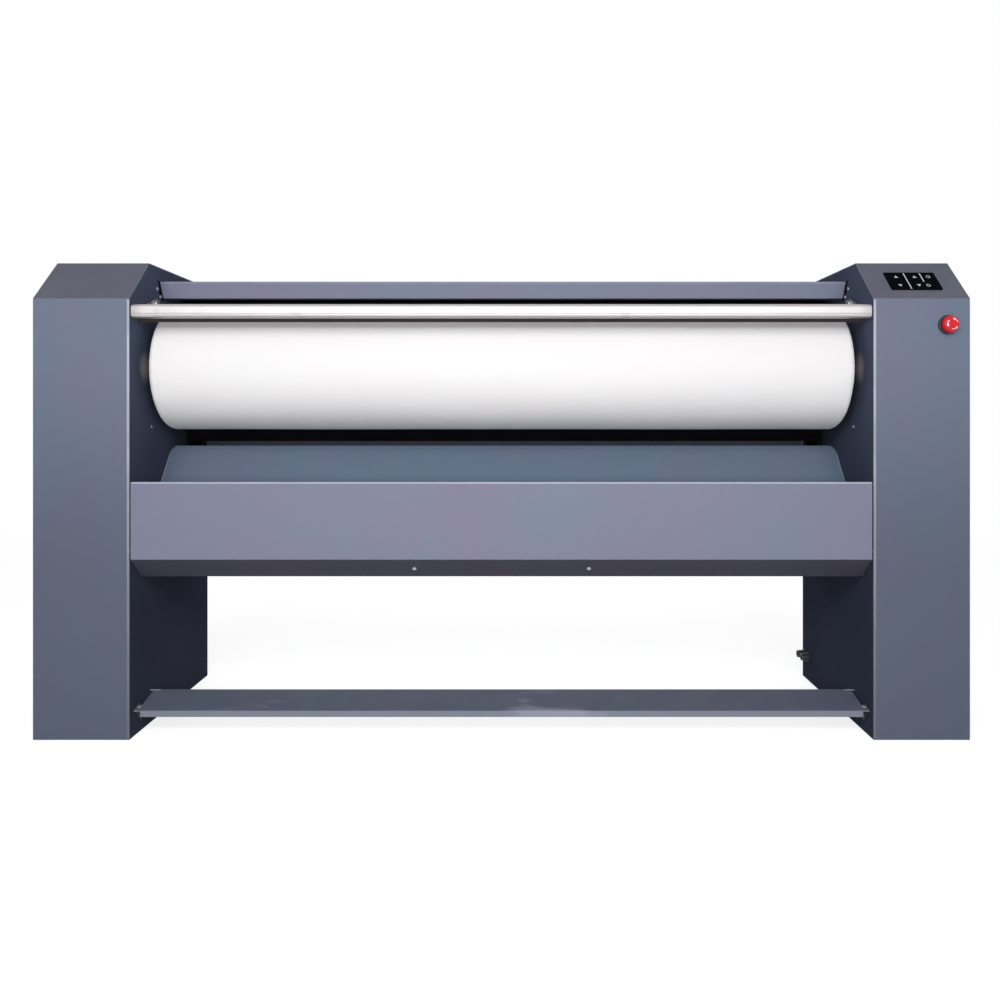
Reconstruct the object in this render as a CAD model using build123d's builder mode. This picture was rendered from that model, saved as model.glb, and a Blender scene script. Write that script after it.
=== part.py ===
from build123d import *
import math
import os

# Single-roll flatwork ironer: two end columns carry a padded roll, a heated shoe behind it,
# a finger guard and a full-width treadle.
#
# Millimetres and degrees. +X is to the right as seen from the front, the front faces -Y and
# +Z is up. z = 0 is the floor. "Depth" is measured back from the front face of the columns.

# Whole machine
machine_width = 2120
column_width = 218
facet_rise = 98
floor_gap = 3
sheet = 2
bend_radius = 4
plate = 6
bay_gap = 3

# Feet and base pans
foot_radius = 20
foot_height = 8
foot_stem_radius = 6
foot_stem_length = 44
foot_nut_height = 10
foot_nut_radius = 11.5
foot_jam_height = 4
foot_inset_x = 38
foot_inset_depth = 46
pan_height = 14
pan_wall = 3

# Rear covers, vents and small screws
rear_clearance = 70
rear_inset = 6
vent_length = 120
vent_width = 8
vent_pitch = 24
vent_count = 8
vent_height = 250
screw_radius = 4.5
screw_head = 2.5
cover_screw_inset = 24

# Roll
roll_depth = 183
roll_height = 850
roll_radius = 148
roll_end_gap = 24
cloth_thickness = 5
padding_thickness = 25
drum_wall = 6
drum_inset = 8
hub_thickness = 10
roll_shaft_radius = 20
running_fit = 0.05
bearing_size = 110
bearing_corner = 11
bearing_flange = 14
bearing_hub_radius = 38
bearing_hub_length = 12
bearing_bolt_inset = 13
bearing_bolt_radius = 9
bearing_bolt_head = 7
roll_hole_clearance = 10

# Heated shoe, drawn as it stands when it is closed against the roll
shoe_pivot_back = 117
shoe_pivot_drop = 290
shoe_hole_clearance = 5
shoe_swing = 4
shoe_closed_gap = 1.5
shoe_thickness = 12
shoe_low_angle = -60
shoe_high_angle = 72
shoe_end_gap = 22
heater_count = 6
heater_radius = 5
heater_fit = 0.1
heater_boss_radius = 11
heater_boss_rise = 4
heater_end = 14
heater_hole_clearance = 2
insulation_thickness = 28
insulation_gap = 1
shoe_cover_angle = 0.6
shoe_arm_thickness = 8
shoe_arm_hub = 30
shoe_arm_high_angle = -10
shoe_arm_low_angle = -60
shoe_shaft_radius = 12.5
bush_radius = 22
bush_length = 12
lever_thickness = 8
lever_length = 150
lever_hub_radius = 24
lever_eye_radius = 15

# Pull rods between the treadle and the shoe levers
rod_thickness = 8
rod_width = 18
rod_pin_radius = 6
rod_pin_end = 3
side_gap = 2
open_pivot_clearance = 1

# Treadle
treadle_front_depth = 13
treadle_front_height = 65
treadle_plate_depth = 81
treadle_plate_rise = 21
treadle_lip = 15
treadle_thickness = 3
treadle_tip_gap = 4
treadle_lip_setback = 14
treadle_tip_depth = 8
treadle_side_setback = 10
treadle_corner_x = 20
treadle_corner_depth = 10
treadle_pivot_depth = 225
treadle_pivot_height = 105
treadle_press = 8
treadle_pin_radius = 10
treadle_arm_hub = 22
treadle_stub_depth = 45
treadle_stub_drop = 10
treadle_stub_radius = 7
treadle_slot_margin = 4
gusset_thickness = 6
gusset_length = 44
gusset_margin = 2

# Treadle return springs
spring_depth = 110
spring_coil_radius = 7
spring_wire_radius = 1
spring_pitch = 5.5
spring_length = 110
spring_post_radius = 4
spring_eye_radius = 6

# Finger guard
guard_rise = 108
guard_height = 32
guard_thickness = 30
guard_corner = 9
guard_wall = 2
guard_arm_thickness = 5
guard_arm_width = 12
guard_pivot_depth = 120
guard_pivot_rise = 156
guard_pin_radius = 6
guard_pin_head = 9
guard_hub_radius = 12

# Hood, rear panel and belly pan
roll_hood_gap = 28
hood_lead = 9
hood_slope = 20
hood_rise = 40
hood_drop = 34
hood_return = 16
panel_sheet = 1.5
rear_panel_inset = 4
belly_drop = 41
beam_size = 40
beam_wall = 3

# Fascia, delivery apron and linen tray
fascia_drop = 77
fascia_height = 175
fascia_hem = 12
fascia_flange_depth = 51
fascia_flange_drop = 48
fascia_screw_x = 200
apron_back = 45
apron_roll_gap = 39
apron_hem = 8
apron_corner_radius = 22
tray_floor_rise = 19
tray_floor_back = 52

# Emergency stop
estop_inset = 50.5
estop_drop = 60
estop_collar_radius = 22
estop_collar_height = 7
estop_collar_chamfer = 2.8
estop_stem_radius = 11
estop_travel = 4
estop_free_gap = 1
estop_head_radius = 20
estop_head_height = 12
estop_head_round = 4.5
estop_skirt_radius = 14
estop_socket = 4
estop_stem_inside = 8
estop_hole_clearance = 0.5
contact_block_size = 40
contact_block_length = 46

# Key pad on the right facet
keypad_inset = 108
keypad_along = 31
keypad_side_margin = 18
keypad_row_margin = 17
keypad_thickness = 2.4
key_width = 17
key_height = 22
key_gap = 0.3
key_corner = 2
key_proud = 0.2
key_travel = 1
key_floor_gap = 0.2
upper_key_places = (24, 67, 99)
lower_key_places = (24, 67, 88)
lower_key_row = 15
upper_key_row = 49
board_standoff = 12
board_thickness = 1.6
board_post_radius = 3

# Drive: chain from the gearbox to the right end of the roll
chain_pitch = 12.7
chain_links = 96
roll_teeth = 38
motor_teeth = 15
roller_radius = 4.25
roller_width = 7.8
link_height = 11
link_plate = 1.3
link_gap = 0.2
link_pin_radius = 1.8
link_pin_fit = 0.1
pin_tolerance = 0.1
tooth_gap_fit = 1
tooth_height = 1.8
sprocket_width = 7
sprocket_hub_length = 10
sprocket_plane_gap = 24
gearbox_size = 110
gearbox_corner = 11
gearbox_cover_gap = 15
output_shaft_radius = 12
output_shaft_depth = 40
output_hub_radius = 19
bracket_plate = 6
bracket_width = 200
bracket_height = 150
bracket_post_radius = 8
bracket_post_inset_depth = 11
bracket_post_inset_height = 15
bracket_rear_gap = 24
motor_radius = 60
motor_length = 170
motor_cowl_length = 40
motor_cowl_lip = 3
motor_neck_radius = 40
terminal_box_size = 60
terminal_box_reach = 30

# Boxes inside the columns
control_box_gap = 122
control_box_height = 240
control_box_width = 120
control_box_depth = 90
heater_box_gap = 16
heater_box_height = 150
heater_box_depth = 90
heater_box_width = 70
switch_size = 24
switch_height = 36
switch_width = 14
switch_roller_radius = 5
switch_middle_height = 150

# Cable glands low on the right inner wall
gland_inset = 28
gland_gap = 2
gland_height = 72
gland_hex_radius = 14
gland_hex_height = 8
gland_cap_radius = 11
gland_cap_height = 17
gland_taper = 5
gland_bore_radius = 5

# Screws on the inner walls, in depth and height from the piece that each one holds
hood_screw_depth = 14
hood_screw_drop = 21
lip_screw_depth = 16
lip_screw_rise = 2
roll_screw_depth = 73
roll_screw_drop = 140

# ---------------------------------------------------------------------------------------------
# Derived places
# ---------------------------------------------------------------------------------------------
outer_x = machine_width / 2
wall_x = outer_x - column_width
wall_back_x = wall_x + sheet
frame_x = wall_back_x + plate
cover_x = outer_x - sheet
miter = math.tan(math.radians(22.5))

estop_head_low = estop_collar_height + estop_travel + estop_free_gap
estop_reach = estop_head_low + estop_head_height

roll_half_length = wall_x - roll_end_gap
padding_radius = roll_radius - cloth_thickness
drum_radius = padding_radius - padding_thickness
drum_bore = drum_radius - drum_wall
shoe_inner = roll_radius + shoe_closed_gap
shoe_outer = shoe_inner + shoe_thickness
insulation_inner = shoe_outer + heater_boss_rise + heater_boss_radius + insulation_gap
insulation_outer = insulation_inner + insulation_thickness
shoe_cover_outer = insulation_outer + panel_sheet
heater_circle = shoe_outer + heater_boss_rise
shoe_half = wall_x - shoe_end_gap
shoe_pivot_depth = roll_depth + shoe_pivot_back
shoe_pivot_height = roll_height - shoe_pivot_drop

# The columns' depth and height follow from what stands between them
machine_depth = roll_depth + shoe_cover_outer + rear_clearance
front_y = (estop_reach - machine_depth) / 2
rear_cover_depth = machine_depth - rear_inset - sheet
rear_panel_depth = machine_depth - rear_panel_inset
hood_low_depth = roll_depth - hood_lead
hood_top_depth = hood_low_depth - hood_slope
hood_low_height = roll_height + roll_radius + roll_hood_gap
hood_top_height = hood_low_height + hood_rise
machine_height = hood_top_height + hood_drop
fold_height = machine_height - facet_rise
apron_top_depth = roll_depth + apron_back
apron_top_height = roll_height - roll_radius - apron_roll_gap
fascia_top = apron_top_height - fascia_drop
fascia_bottom = fascia_top - fascia_height
tray_floor_height = fascia_bottom + tray_floor_rise
belly_height = fascia_bottom - belly_drop
flange_length = math.hypot(fascia_flange_depth, fascia_flange_drop)
front_beam_depth = (
    belly_drop * fascia_flange_depth + sheet * flange_length
) / fascia_flange_drop + side_gap
guard_low = roll_height + guard_rise
guard_pivot_height = roll_height + guard_pivot_rise
estop_x = outer_x - estop_inset
estop_height = fold_height - estop_drop
keypad_x = outer_x - keypad_inset
keypad_width = upper_key_places[-1] + keypad_side_margin
keypad_height = upper_key_row + keypad_row_margin
key_lift = key_travel + key_floor_gap

lever_x = frame_x + bush_length + 2 * side_gap
rod_x = lever_x + lever_thickness + side_gap
rod_pin_x = rod_x + rod_thickness + rod_pin_end
rod_depth = shoe_pivot_depth - lever_length
lever_to_treadle = shoe_swing / treadle_press
rod_reach = lever_length * lever_to_treadle

treadle_slope = math.atan2(treadle_plate_rise, treadle_plate_depth)
treadle_back_depth = treadle_front_depth + treadle_plate_depth
treadle_back_height = treadle_front_height + treadle_plate_rise
treadle_half = wall_x - treadle_tip_gap
lip_half = treadle_half - treadle_lip_setback
tread_half = treadle_half - treadle_side_setback
stub_height = (
    treadle_front_height
    + (treadle_stub_depth - treadle_front_depth) * math.tan(treadle_slope)
    - treadle_thickness
    - treadle_stub_drop
)
stub_arm_depth = treadle_stub_depth - treadle_pivot_depth
stub_arm_height = stub_height - treadle_pivot_height
rod_pin_depth = treadle_pivot_depth - rod_reach
rod_pin_height = treadle_pivot_height

sprocket_x = rod_pin_x + sprocket_plane_gap - sprocket_hub_length
roll_pitch_radius = roll_teeth * chain_pitch / (2 * math.pi)
motor_pitch_radius = motor_teeth * chain_pitch / (2 * math.pi)
bearing_face_x = frame_x + bearing_flange + bearing_hub_length


def chain_centres():
    """Distance between the sprocket centres, in millimetres, that a closed chain needs."""
    length = chain_links * chain_pitch
    step = roll_pitch_radius - motor_pitch_radius
    slant = 0.0
    for _ in range(30):
        arcs = (math.pi + 2 * slant) * roll_pitch_radius + (math.pi - 2 * slant) * motor_pitch_radius
        straight = (length - arcs) / 2
        distance = math.hypot(straight, step)
        slant = math.asin(step / distance)
    return distance, slant, straight


motor_distance, chain_slant, chain_straight = chain_centres()
motor_depth = rear_cover_depth - bracket_rear_gap - bracket_width / 2
motor_direction = -math.acos((motor_depth - roll_depth) / motor_distance)
motor_height = roll_height + motor_distance * math.sin(motor_direction)
motor_neck_length = (bracket_height - gearbox_size) / 2 + side_gap
bracket_x = sprocket_x + sprocket_hub_length + side_gap
gearbox_x = bracket_x + bracket_plate
gearbox_length = cover_x - gearbox_cover_gap - gearbox_x


# Places of feet, beams, screws, gussets and springs
foot_top = foot_height + foot_jam_height
pan_middle_x = (frame_x + cover_x) / 2
pan_length_x = cover_x - frame_x
pan_middle_depth = (sheet + rear_cover_depth) / 2
pan_length_depth = rear_cover_depth - sheet
foot_pitch_x = pan_length_x - 2 * foot_inset_x
foot_pitch_depth = pan_length_depth - 2 * foot_inset_depth
foot_centres = [
    (
        side * pan_middle_x + step_x * foot_pitch_x / 2,
        pan_middle_depth + step_depth * foot_pitch_depth / 2,
    )
    for side in (-1, 1)
    for step_x in (-1, 1)
    for step_depth in (-1, 1)
]
rear_beam_depth = rear_panel_depth - panel_sheet - beam_size / 2
low_beam_height = belly_height + panel_sheet + beam_size / 2
beam_places = (
    (front_beam_depth + beam_size / 2, low_beam_height),
    (rear_beam_depth, low_beam_height),
    (rear_beam_depth, hood_top_height - panel_sheet - beam_size / 2),
)
wall_screw_places = (
    (hood_top_depth - hood_screw_depth, hood_top_height - hood_screw_drop),
    (hood_low_depth - lip_screw_depth, hood_low_height + lip_screw_rise),
    (roll_depth - roll_screw_depth, roll_height - roll_screw_drop),
)
outer_screw_places = [
    (depth, height)
    for depth in (cover_screw_inset, machine_depth - cover_screw_inset)
    for height in (2 * cover_screw_inset, machine_height / 2, fold_height - cover_screw_inset)
]
rear_middle_x = (wall_back_x + cover_x) / 2
rear_middle_height = (floor_gap + machine_height - sheet) / 2
estop_hole_radius = estop_stem_radius + estop_hole_clearance
control_box_low = (
    estop_height - contact_block_size / 2 - control_box_gap - control_box_height
)
heater_box_low = shoe_pivot_height + lever_hub_radius + heater_box_gap
gland_depths = (
    machine_depth - gland_inset - 2 * gland_hex_radius - gland_gap,
    machine_depth - gland_inset,
)
lip_cut_height = treadle_front_height - treadle_thickness - treadle_lip / 2
gusset_x = lip_half - 2 * gusset_thickness
gusset_drop = treadle_stub_drop + treadle_stub_radius + gusset_margin
spring_x = lever_x + lever_thickness / 2
spring_share = (treadle_pivot_depth - spring_depth) / -stub_arm_depth
spring_arm_radius = treadle_arm_hub + spring_share * (
    treadle_stub_radius + treadle_slot_margin - treadle_arm_hub
)
spring_eye_height = (
    treadle_pivot_height
    + stub_arm_height * spring_share
    + math.hypot(1, stub_arm_height / stub_arm_depth) * spring_arm_radius
)
spring_low = spring_eye_height + spring_eye_radius + spring_wire_radius
spring_post_height = spring_low + spring_length + spring_wire_radius + spring_post_radius
switch_roller_height = switch_middle_height - (switch_height + switch_roller_radius) / 2

# ---------------------------------------------------------------------------------------------
# Planes and small helpers
# ---------------------------------------------------------------------------------------------
def side_plane(x):
    """Plane across the machine at x; its own x is depth and its own y is height."""
    return Plane(origin=(x, front_y, 0), x_dir=(0, 1, 0), z_dir=(1, 0, 0))


def front_plane(depth):
    """Plane facing the front at a depth; its own x is X and its own y is height."""
    return Plane(origin=(0, front_y + depth, 0), x_dir=(1, 0, 0), z_dir=(0, -1, 0))


def level_plane(height):
    """Horizontal plane at a height; its own x is X and its own y is depth."""
    return Plane(origin=(0, front_y, height), x_dir=(1, 0, 0), z_dir=(0, 0, 1))


def closed_shoe_plane(x):
    """Side plane centred on the shoe pivot, turned back from the closed place to rest."""
    swing = math.radians(shoe_swing)
    return Plane(
        origin=(x, front_y + shoe_pivot_depth, shoe_pivot_height),
        x_dir=(0, math.cos(swing), -math.sin(swing)),
        z_dir=(1, 0, 0),
    )


facet_plane = Plane(origin=(keypad_x, front_y, fold_height), x_dir=(1, 0, 0), z_dir=(0, -1, 1))
sides = (("left", -1), ("right", 1))

os.makedirs("parts", exist_ok=True)


def save(piece, label):
    """Label a finished piece and write it."""
    piece.part.label = label
    export_step(piece.part, f"parts/{label}.step")


def column_outline(inset, low, back):
    """Outline of a column's section, in depth and height, inset from its outer skin."""
    corner = max(bend_radius - inset, 0)
    points = (
        (inset, low),
        (inset, fold_height - inset * miter),
        (facet_rise + inset * miter, machine_height - inset),
        (back, machine_height - inset),
        (back, low),
    )
    return points, corner


def column_panel(side, x_low, x_high, inset, low, back):
    """Flat panel of the column's section between two x places on one side."""
    points, corner = column_outline(inset, low, back)
    with BuildPart() as panel:
        with BuildSketch(side_plane(side * x_low)) as face:
            with BuildLine():
                Polyline(*points, close=True)
            make_face()
            if corner:
                upper = face.vertices().sort_by(Axis.Y)[2:]
                fillet(upper.sort_by(Axis.X)[:2], corner)
        extrude(amount=side * (x_high - x_low))
    return panel


def folded(points, radius, thickness, side, half_width):
    """Folded sheet of one section, centred on x = 0."""
    with BuildPart() as piece:
        with BuildSketch(side_plane(-half_width)):
            with BuildLine():
                line = FilletPolyline(*points, radius=radius)
                offset(line, amount=thickness, side=side)
            make_face()
        extrude(amount=2 * half_width)
    return piece


# ---------------------------------------------------------------------------------------------
# Columns
# ---------------------------------------------------------------------------------------------
slot_swing = math.radians(treadle_press)
stub_end_depth = treadle_pivot_depth + (
    stub_arm_depth * math.cos(slot_swing) - stub_arm_height * math.sin(slot_swing)
)
stub_end_height = treadle_pivot_height + (
    stub_arm_depth * math.sin(slot_swing) + stub_arm_height * math.cos(slot_swing)
)
slot_length = math.dist((treadle_stub_depth, stub_height), (stub_end_depth, stub_end_height))
slot_angle = math.degrees(
    math.atan2(stub_end_height - stub_height, stub_end_depth - treadle_stub_depth)
)
slot_middle = (
    (treadle_stub_depth + stub_end_depth) / 2,
    (stub_height + stub_end_height) / 2,
)
slot_width = 2 * (treadle_stub_radius + treadle_slot_margin)
roll_hole = roll_shaft_radius + roll_hole_clearance
shoe_hole = shoe_shaft_radius + shoe_hole_clearance


def cut_wall_holes(x, depth):
    """Cut the roll, shoe and treadle openings through a panel that starts at x."""
    with BuildSketch(side_plane(x)) as holes:
        with Locations((roll_depth, roll_height)):
            Circle(roll_hole)
        with Locations((shoe_pivot_depth, shoe_pivot_height)):
            Circle(shoe_hole)
        with Locations(slot_middle):
            SlotCenterToCenter(slot_length, slot_width, rotation=slot_angle)
    extrude(holes.sketch, amount=depth, mode=Mode.SUBTRACT)


for name, side in sides:
    # Folded front cover: front face, sloping facet and flat top in one sheet
    with BuildPart() as front_cover:
        with BuildSketch(side_plane(side * wall_x)):
            with BuildLine():
                skin = FilletPolyline(
                    (0, floor_gap),
                    (0, fold_height),
                    (facet_rise, machine_height),
                    (machine_depth, machine_height),
                    radius=bend_radius,
                )
                offset(skin, amount=sheet, side=Side.RIGHT)
            make_face()
        extrude(amount=side * column_width)
        if name == "right":
            with BuildSketch(front_plane(0)):
                with Locations((estop_x, estop_height)):
                    Circle(estop_hole_radius)
            extrude(amount=-sheet, mode=Mode.SUBTRACT)
    save(front_cover, f"{name}_front_cover")

wall_blanks = [
    column_panel(side, wall_x, wall_back_x, sheet, floor_gap, machine_depth) for _, side in sides
]
cover_blanks = [
    column_panel(side, cover_x, outer_x, sheet, floor_gap, machine_depth) for _, side in sides
]
plate_blanks = [
    column_panel(
        side, wall_back_x, frame_x, sheet + side_gap, floor_gap + side_gap, rear_cover_depth
    )
    for _, side in sides
]
gland_places = [(depth, gland_height) for depth in gland_depths]

# Inner walls, seen from the working side
with BuildPart() as inner_walls:
    for (_, side), blank in zip(sides, wall_blanks):
        add(blank.part)
        cut_wall_holes(side * wall_x, side * sheet)
    with BuildSketch(side_plane(wall_x)):
        with Locations(*gland_places):
            Circle(gland_cap_radius)
    extrude(amount=sheet, mode=Mode.SUBTRACT)
save(inner_walls, "inner_walls")

# Outer covers
with BuildPart() as outer_covers:
    for blank in cover_blanks:
        add(blank.part)
save(outer_covers, "outer_covers")

# Side plates that carry the bearings
with BuildPart() as side_plates:
    for (_, side), blank in zip(sides, plate_blanks):
        add(blank.part)
        cut_wall_holes(side * wall_back_x, side * plate)
    with BuildSketch(side_plane(wall_back_x)):
        with Locations(*gland_places):
            Circle(gland_hex_radius)
    extrude(amount=plate, mode=Mode.SUBTRACT)
save(side_plates, "side_plates")

# Rear covers, each with a column of vents
with BuildPart() as rear_covers:
    with BuildSketch(front_plane(rear_cover_depth)):
        with Locations(*[(side * rear_middle_x, rear_middle_height) for _, side in sides]):
            Rectangle(cover_x - wall_back_x, 2 * (rear_middle_height - floor_gap))
        with Locations(*[(side * rear_middle_x, vent_height) for _, side in sides]):
            with GridLocations(0, vent_pitch, 1, vent_count):
                SlotOverall(vent_length, vent_width, mode=Mode.SUBTRACT)
    extrude(amount=-sheet)
save(rear_covers, "rear_covers")

# Base pans: shallow trays that stiffen the feet of the columns
pan_places = [(side * pan_middle_x, pan_middle_depth) for _, side in sides]
with BuildPart() as base_pans:
    with BuildSketch(level_plane(foot_top)):
        with Locations(*pan_places):
            Rectangle(pan_length_x, pan_length_depth)
    extrude(amount=pan_height)
    with BuildSketch(level_plane(foot_top + pan_wall)):
        with Locations(*pan_places):
            Rectangle(pan_length_x - 2 * pan_wall, pan_length_depth - 2 * pan_wall)
    extrude(amount=pan_height, mode=Mode.SUBTRACT)
    with BuildSketch(level_plane(foot_top)):
        with Locations(*foot_centres):
            Circle(foot_stem_radius)
    extrude(amount=pan_wall, mode=Mode.SUBTRACT)
save(base_pans, "base_pans")

with BuildPart() as levelling_feet:
    with BuildSketch(level_plane(0)):
        with Locations(*foot_centres):
            Circle(foot_radius)
    extrude(amount=foot_height)
    with BuildSketch(level_plane(foot_height)):
        with Locations(*foot_centres):
            RegularPolygon(radius=foot_nut_radius, side_count=6)
    extrude(amount=foot_top - foot_height)
    with BuildSketch(level_plane(foot_top)):
        with Locations(*foot_centres):
            Circle(foot_stem_radius)
    extrude(amount=foot_stem_length)
    with BuildSketch(level_plane(foot_top + pan_wall)):
        with Locations(*foot_centres):
            RegularPolygon(radius=foot_nut_radius, side_count=6)
    extrude(amount=foot_nut_height)
save(levelling_feet, "levelling_feet")

# ---------------------------------------------------------------------------------------------
# Cross members, hood, rear panel, belly pan, fascia and delivery apron
# ---------------------------------------------------------------------------------------------
with BuildPart() as cross_beams:
    with BuildSketch(side_plane(-wall_x)):
        with Locations(*beam_places):
            RectangleRounded(beam_size, beam_size, beam_wall)
            Rectangle(beam_size - 2 * beam_wall, beam_size - 2 * beam_wall, mode=Mode.SUBTRACT)
    extrude(amount=2 * wall_x)
save(cross_beams, "cross_beams")

hood = folded(
    (
        (hood_low_depth + hood_return, hood_low_height),
        (hood_low_depth, hood_low_height),
        (hood_top_depth, hood_top_height),
        (rear_panel_depth, hood_top_height),
    ),
    2 * panel_sheet,
    panel_sheet,
    Side.RIGHT,
    wall_x,
)
save(hood, "hood")

with BuildPart() as rear_panel:
    with BuildSketch(front_plane(rear_panel_depth)):
        with Locations((0, (belly_height + hood_top_height - panel_sheet) / 2)):
            Rectangle(2 * wall_x, hood_top_height - panel_sheet - belly_height)
    extrude(amount=panel_sheet)
save(rear_panel, "rear_panel")

with BuildPart() as belly_pan:
    belly_length = rear_panel_depth - panel_sheet - front_beam_depth
    with BuildSketch(level_plane(belly_height)):
        with Locations((0, front_beam_depth + belly_length / 2)):
            Rectangle(2 * wall_x, belly_length)
    extrude(amount=panel_sheet)
save(belly_pan, "belly_pan")

fascia_points = (
    (fascia_hem, fascia_top),
    (0, fascia_top),
    (0, fascia_bottom),
    (fascia_flange_depth, fascia_bottom - fascia_flange_drop),
)
fascia = folded(fascia_points, bend_radius, sheet, Side.LEFT, wall_x - bay_gap)
save(fascia, "fascia")

apron_sheet = folded(
    (
        (apron_top_depth + apron_hem, apron_top_height - apron_hem),
        (apron_top_depth, apron_top_height),
        (tray_floor_back, tray_floor_height),
        (sheet, tray_floor_height),
    ),
    bend_radius,
    sheet,
    Side.LEFT,
    wall_x,
)
corner_x = wall_x - apron_corner_radius
corner_height = apron_top_height - apron_corner_radius
with BuildPart() as delivery_apron:
    add(apron_sheet.part)
    # Both upper corners are rounded off, with the hem behind them
    with BuildSketch(front_plane(apron_top_depth + apron_hem)):
        for _, side in sides:
            with Locations((side * (wall_x - apron_corner_radius / 2), corner_height)):
                Rectangle(
                    apron_corner_radius, apron_corner_radius, align=(Align.CENTER, Align.MIN)
                )
        with Locations(*[(side * corner_x, corner_height) for _, side in sides]):
            Circle(apron_corner_radius, mode=Mode.SUBTRACT)
    extrude(amount=apron_top_depth, mode=Mode.SUBTRACT)
save(delivery_apron, "delivery_apron")

# Screws on the fascia's lower flange, the inner walls, the outer and the rear covers, and the
# bolts that hold the roll's bearings
flange_plane = Plane(
    origin=(
        0,
        front_y + fascia_flange_depth / 2,
        fascia_bottom - fascia_flange_drop / 2,
    ),
    x_dir=(1, 0, 0),
    z_dir=(0, -fascia_flange_drop, -fascia_flange_depth),
)
bolt_spacing = bearing_size - 2 * bearing_bolt_inset
with BuildPart() as screws_and_bolts:
    with BuildSketch(flange_plane):
        with Locations((-fascia_screw_x, 0), (fascia_screw_x, 0)):
            Circle(screw_radius)
    extrude(amount=screw_head)
    for _, side in sides:
        with BuildSketch(side_plane(side * wall_x)):
            with Locations(*wall_screw_places):
                Circle(screw_radius)
        extrude(amount=-side * screw_head)
        with BuildSketch(side_plane(side * outer_x)):
            with Locations(*outer_screw_places):
                Circle(screw_radius)
        extrude(amount=side * screw_head)
        with BuildSketch(front_plane(rear_cover_depth + sheet)):
            with Locations((side * rear_middle_x, rear_middle_height)):
                with GridLocations(
                    cover_x - wall_back_x - cover_screw_inset,
                    machine_height / 2 - 2 * cover_screw_inset,
                    2,
                    3,
                ):
                    Circle(screw_radius)
        extrude(amount=-screw_head)
        with BuildSketch(side_plane(side * (frame_x + bearing_flange))):
            with Locations((roll_depth, roll_height)):
                with GridLocations(bolt_spacing, bolt_spacing, 2, 2):
                    RegularPolygon(radius=bearing_bolt_radius, side_count=6)
        extrude(amount=side * bearing_bolt_head)
save(screws_and_bolts, "screws_and_bolts")

# ---------------------------------------------------------------------------------------------
# Roll
# ---------------------------------------------------------------------------------------------
roll_centre = (roll_depth, roll_height)


def sleeve(outer, inner, half_length):
    """Ring about the roll's axis."""
    with BuildPart() as ring:
        with BuildSketch(side_plane(-half_length)):
            with Locations(roll_centre):
                Circle(outer)
                Circle(inner, mode=Mode.SUBTRACT)
        extrude(amount=2 * half_length)
    return ring


drum_half = roll_half_length - drum_inset
roll_drum = sleeve(drum_radius, drum_bore, drum_half)
save(roll_drum, "roll_drum")
save(sleeve(padding_radius, drum_radius, drum_half), "roll_padding")
save(sleeve(roll_radius, padding_radius, roll_half_length), "roll_cloth")

shaft_ends = {
    "left": bearing_face_x + side_gap,
    "right": sprocket_x + sprocket_hub_length + side_gap,
}
with BuildPart() as roll_hubs:
    for name, side in sides:
        with BuildSketch(side_plane(side * (drum_half - hub_thickness))):
            with Locations(roll_centre):
                Circle(drum_bore)
        extrude(amount=side * hub_thickness)
        with BuildSketch(side_plane(side * drum_half)):
            with Locations(roll_centre):
                Circle(roll_shaft_radius)
        extrude(amount=side * (shaft_ends[name] - drum_half))
save(roll_hubs, "roll_hubs")

with BuildPart() as roll_bearings:
    for _, side in sides:
        with BuildSketch(side_plane(side * frame_x)):
            with Locations(roll_centre):
                RectangleRounded(bearing_size, bearing_size, bearing_corner)
        extrude(amount=side * bearing_flange)
        with BuildSketch(side_plane(side * (frame_x + bearing_flange))):
            with Locations(roll_centre):
                Circle(bearing_hub_radius)
        extrude(amount=side * bearing_hub_length)
        with BuildSketch(side_plane(side * frame_x)):
            with Locations(roll_centre):
                Circle(roll_shaft_radius + running_fit)
        extrude(amount=side * (bearing_flange + bearing_hub_length), mode=Mode.SUBTRACT)
save(roll_bearings, "roll_bearings")

# ---------------------------------------------------------------------------------------------
# Heated shoe behind the roll. It is drawn closed and turned back about its pivot to rest.
# ---------------------------------------------------------------------------------------------
roll_from_pivot = (roll_depth - shoe_pivot_depth, roll_height - shoe_pivot_height)
shoe_span = shoe_high_angle - shoe_low_angle


def around_roll(radius, angle):
    """Point about the roll's axis, seen from the shoe pivot with the shoe closed."""
    return (
        roll_from_pivot[0] + radius * math.cos(math.radians(angle)),
        roll_from_pivot[1] + radius * math.sin(math.radians(angle)),
    )


def ring_sector(inner, outer, low, high):
    """Face of a ring about the roll's axis between two angles, for an open sketch."""
    with BuildLine() as outline:
        CenterArc(roll_from_pivot, inner, low, high - low)
        CenterArc(roll_from_pivot, outer, low, high - low)
        Line(around_roll(inner, low), around_roll(outer, low))
        Line(around_roll(inner, high), around_roll(outer, high))
    make_face(outline.edges())


heater_angles = [
    shoe_low_angle + shoe_span * (index + 0.5) / heater_count for index in range(heater_count)
]
heater_places = [around_roll(heater_circle, angle) for angle in heater_angles]

with BuildPart() as shoe:
    with BuildSketch(closed_shoe_plane(-shoe_half)):
        ring_sector(shoe_inner, shoe_outer, shoe_low_angle, shoe_high_angle)
        with Locations(*heater_places):
            Circle(heater_boss_radius)
        with Locations(*heater_places):
            Circle(heater_radius + heater_fit, mode=Mode.SUBTRACT)
    extrude(amount=2 * shoe_half)
save(shoe, "shoe")

with BuildPart() as heaters:
    with BuildSketch(closed_shoe_plane(-shoe_half - heater_end)):
        with Locations(*heater_places):
            Circle(heater_radius)
    extrude(amount=2 * (shoe_half + heater_end))
save(heaters, "heaters")

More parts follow.
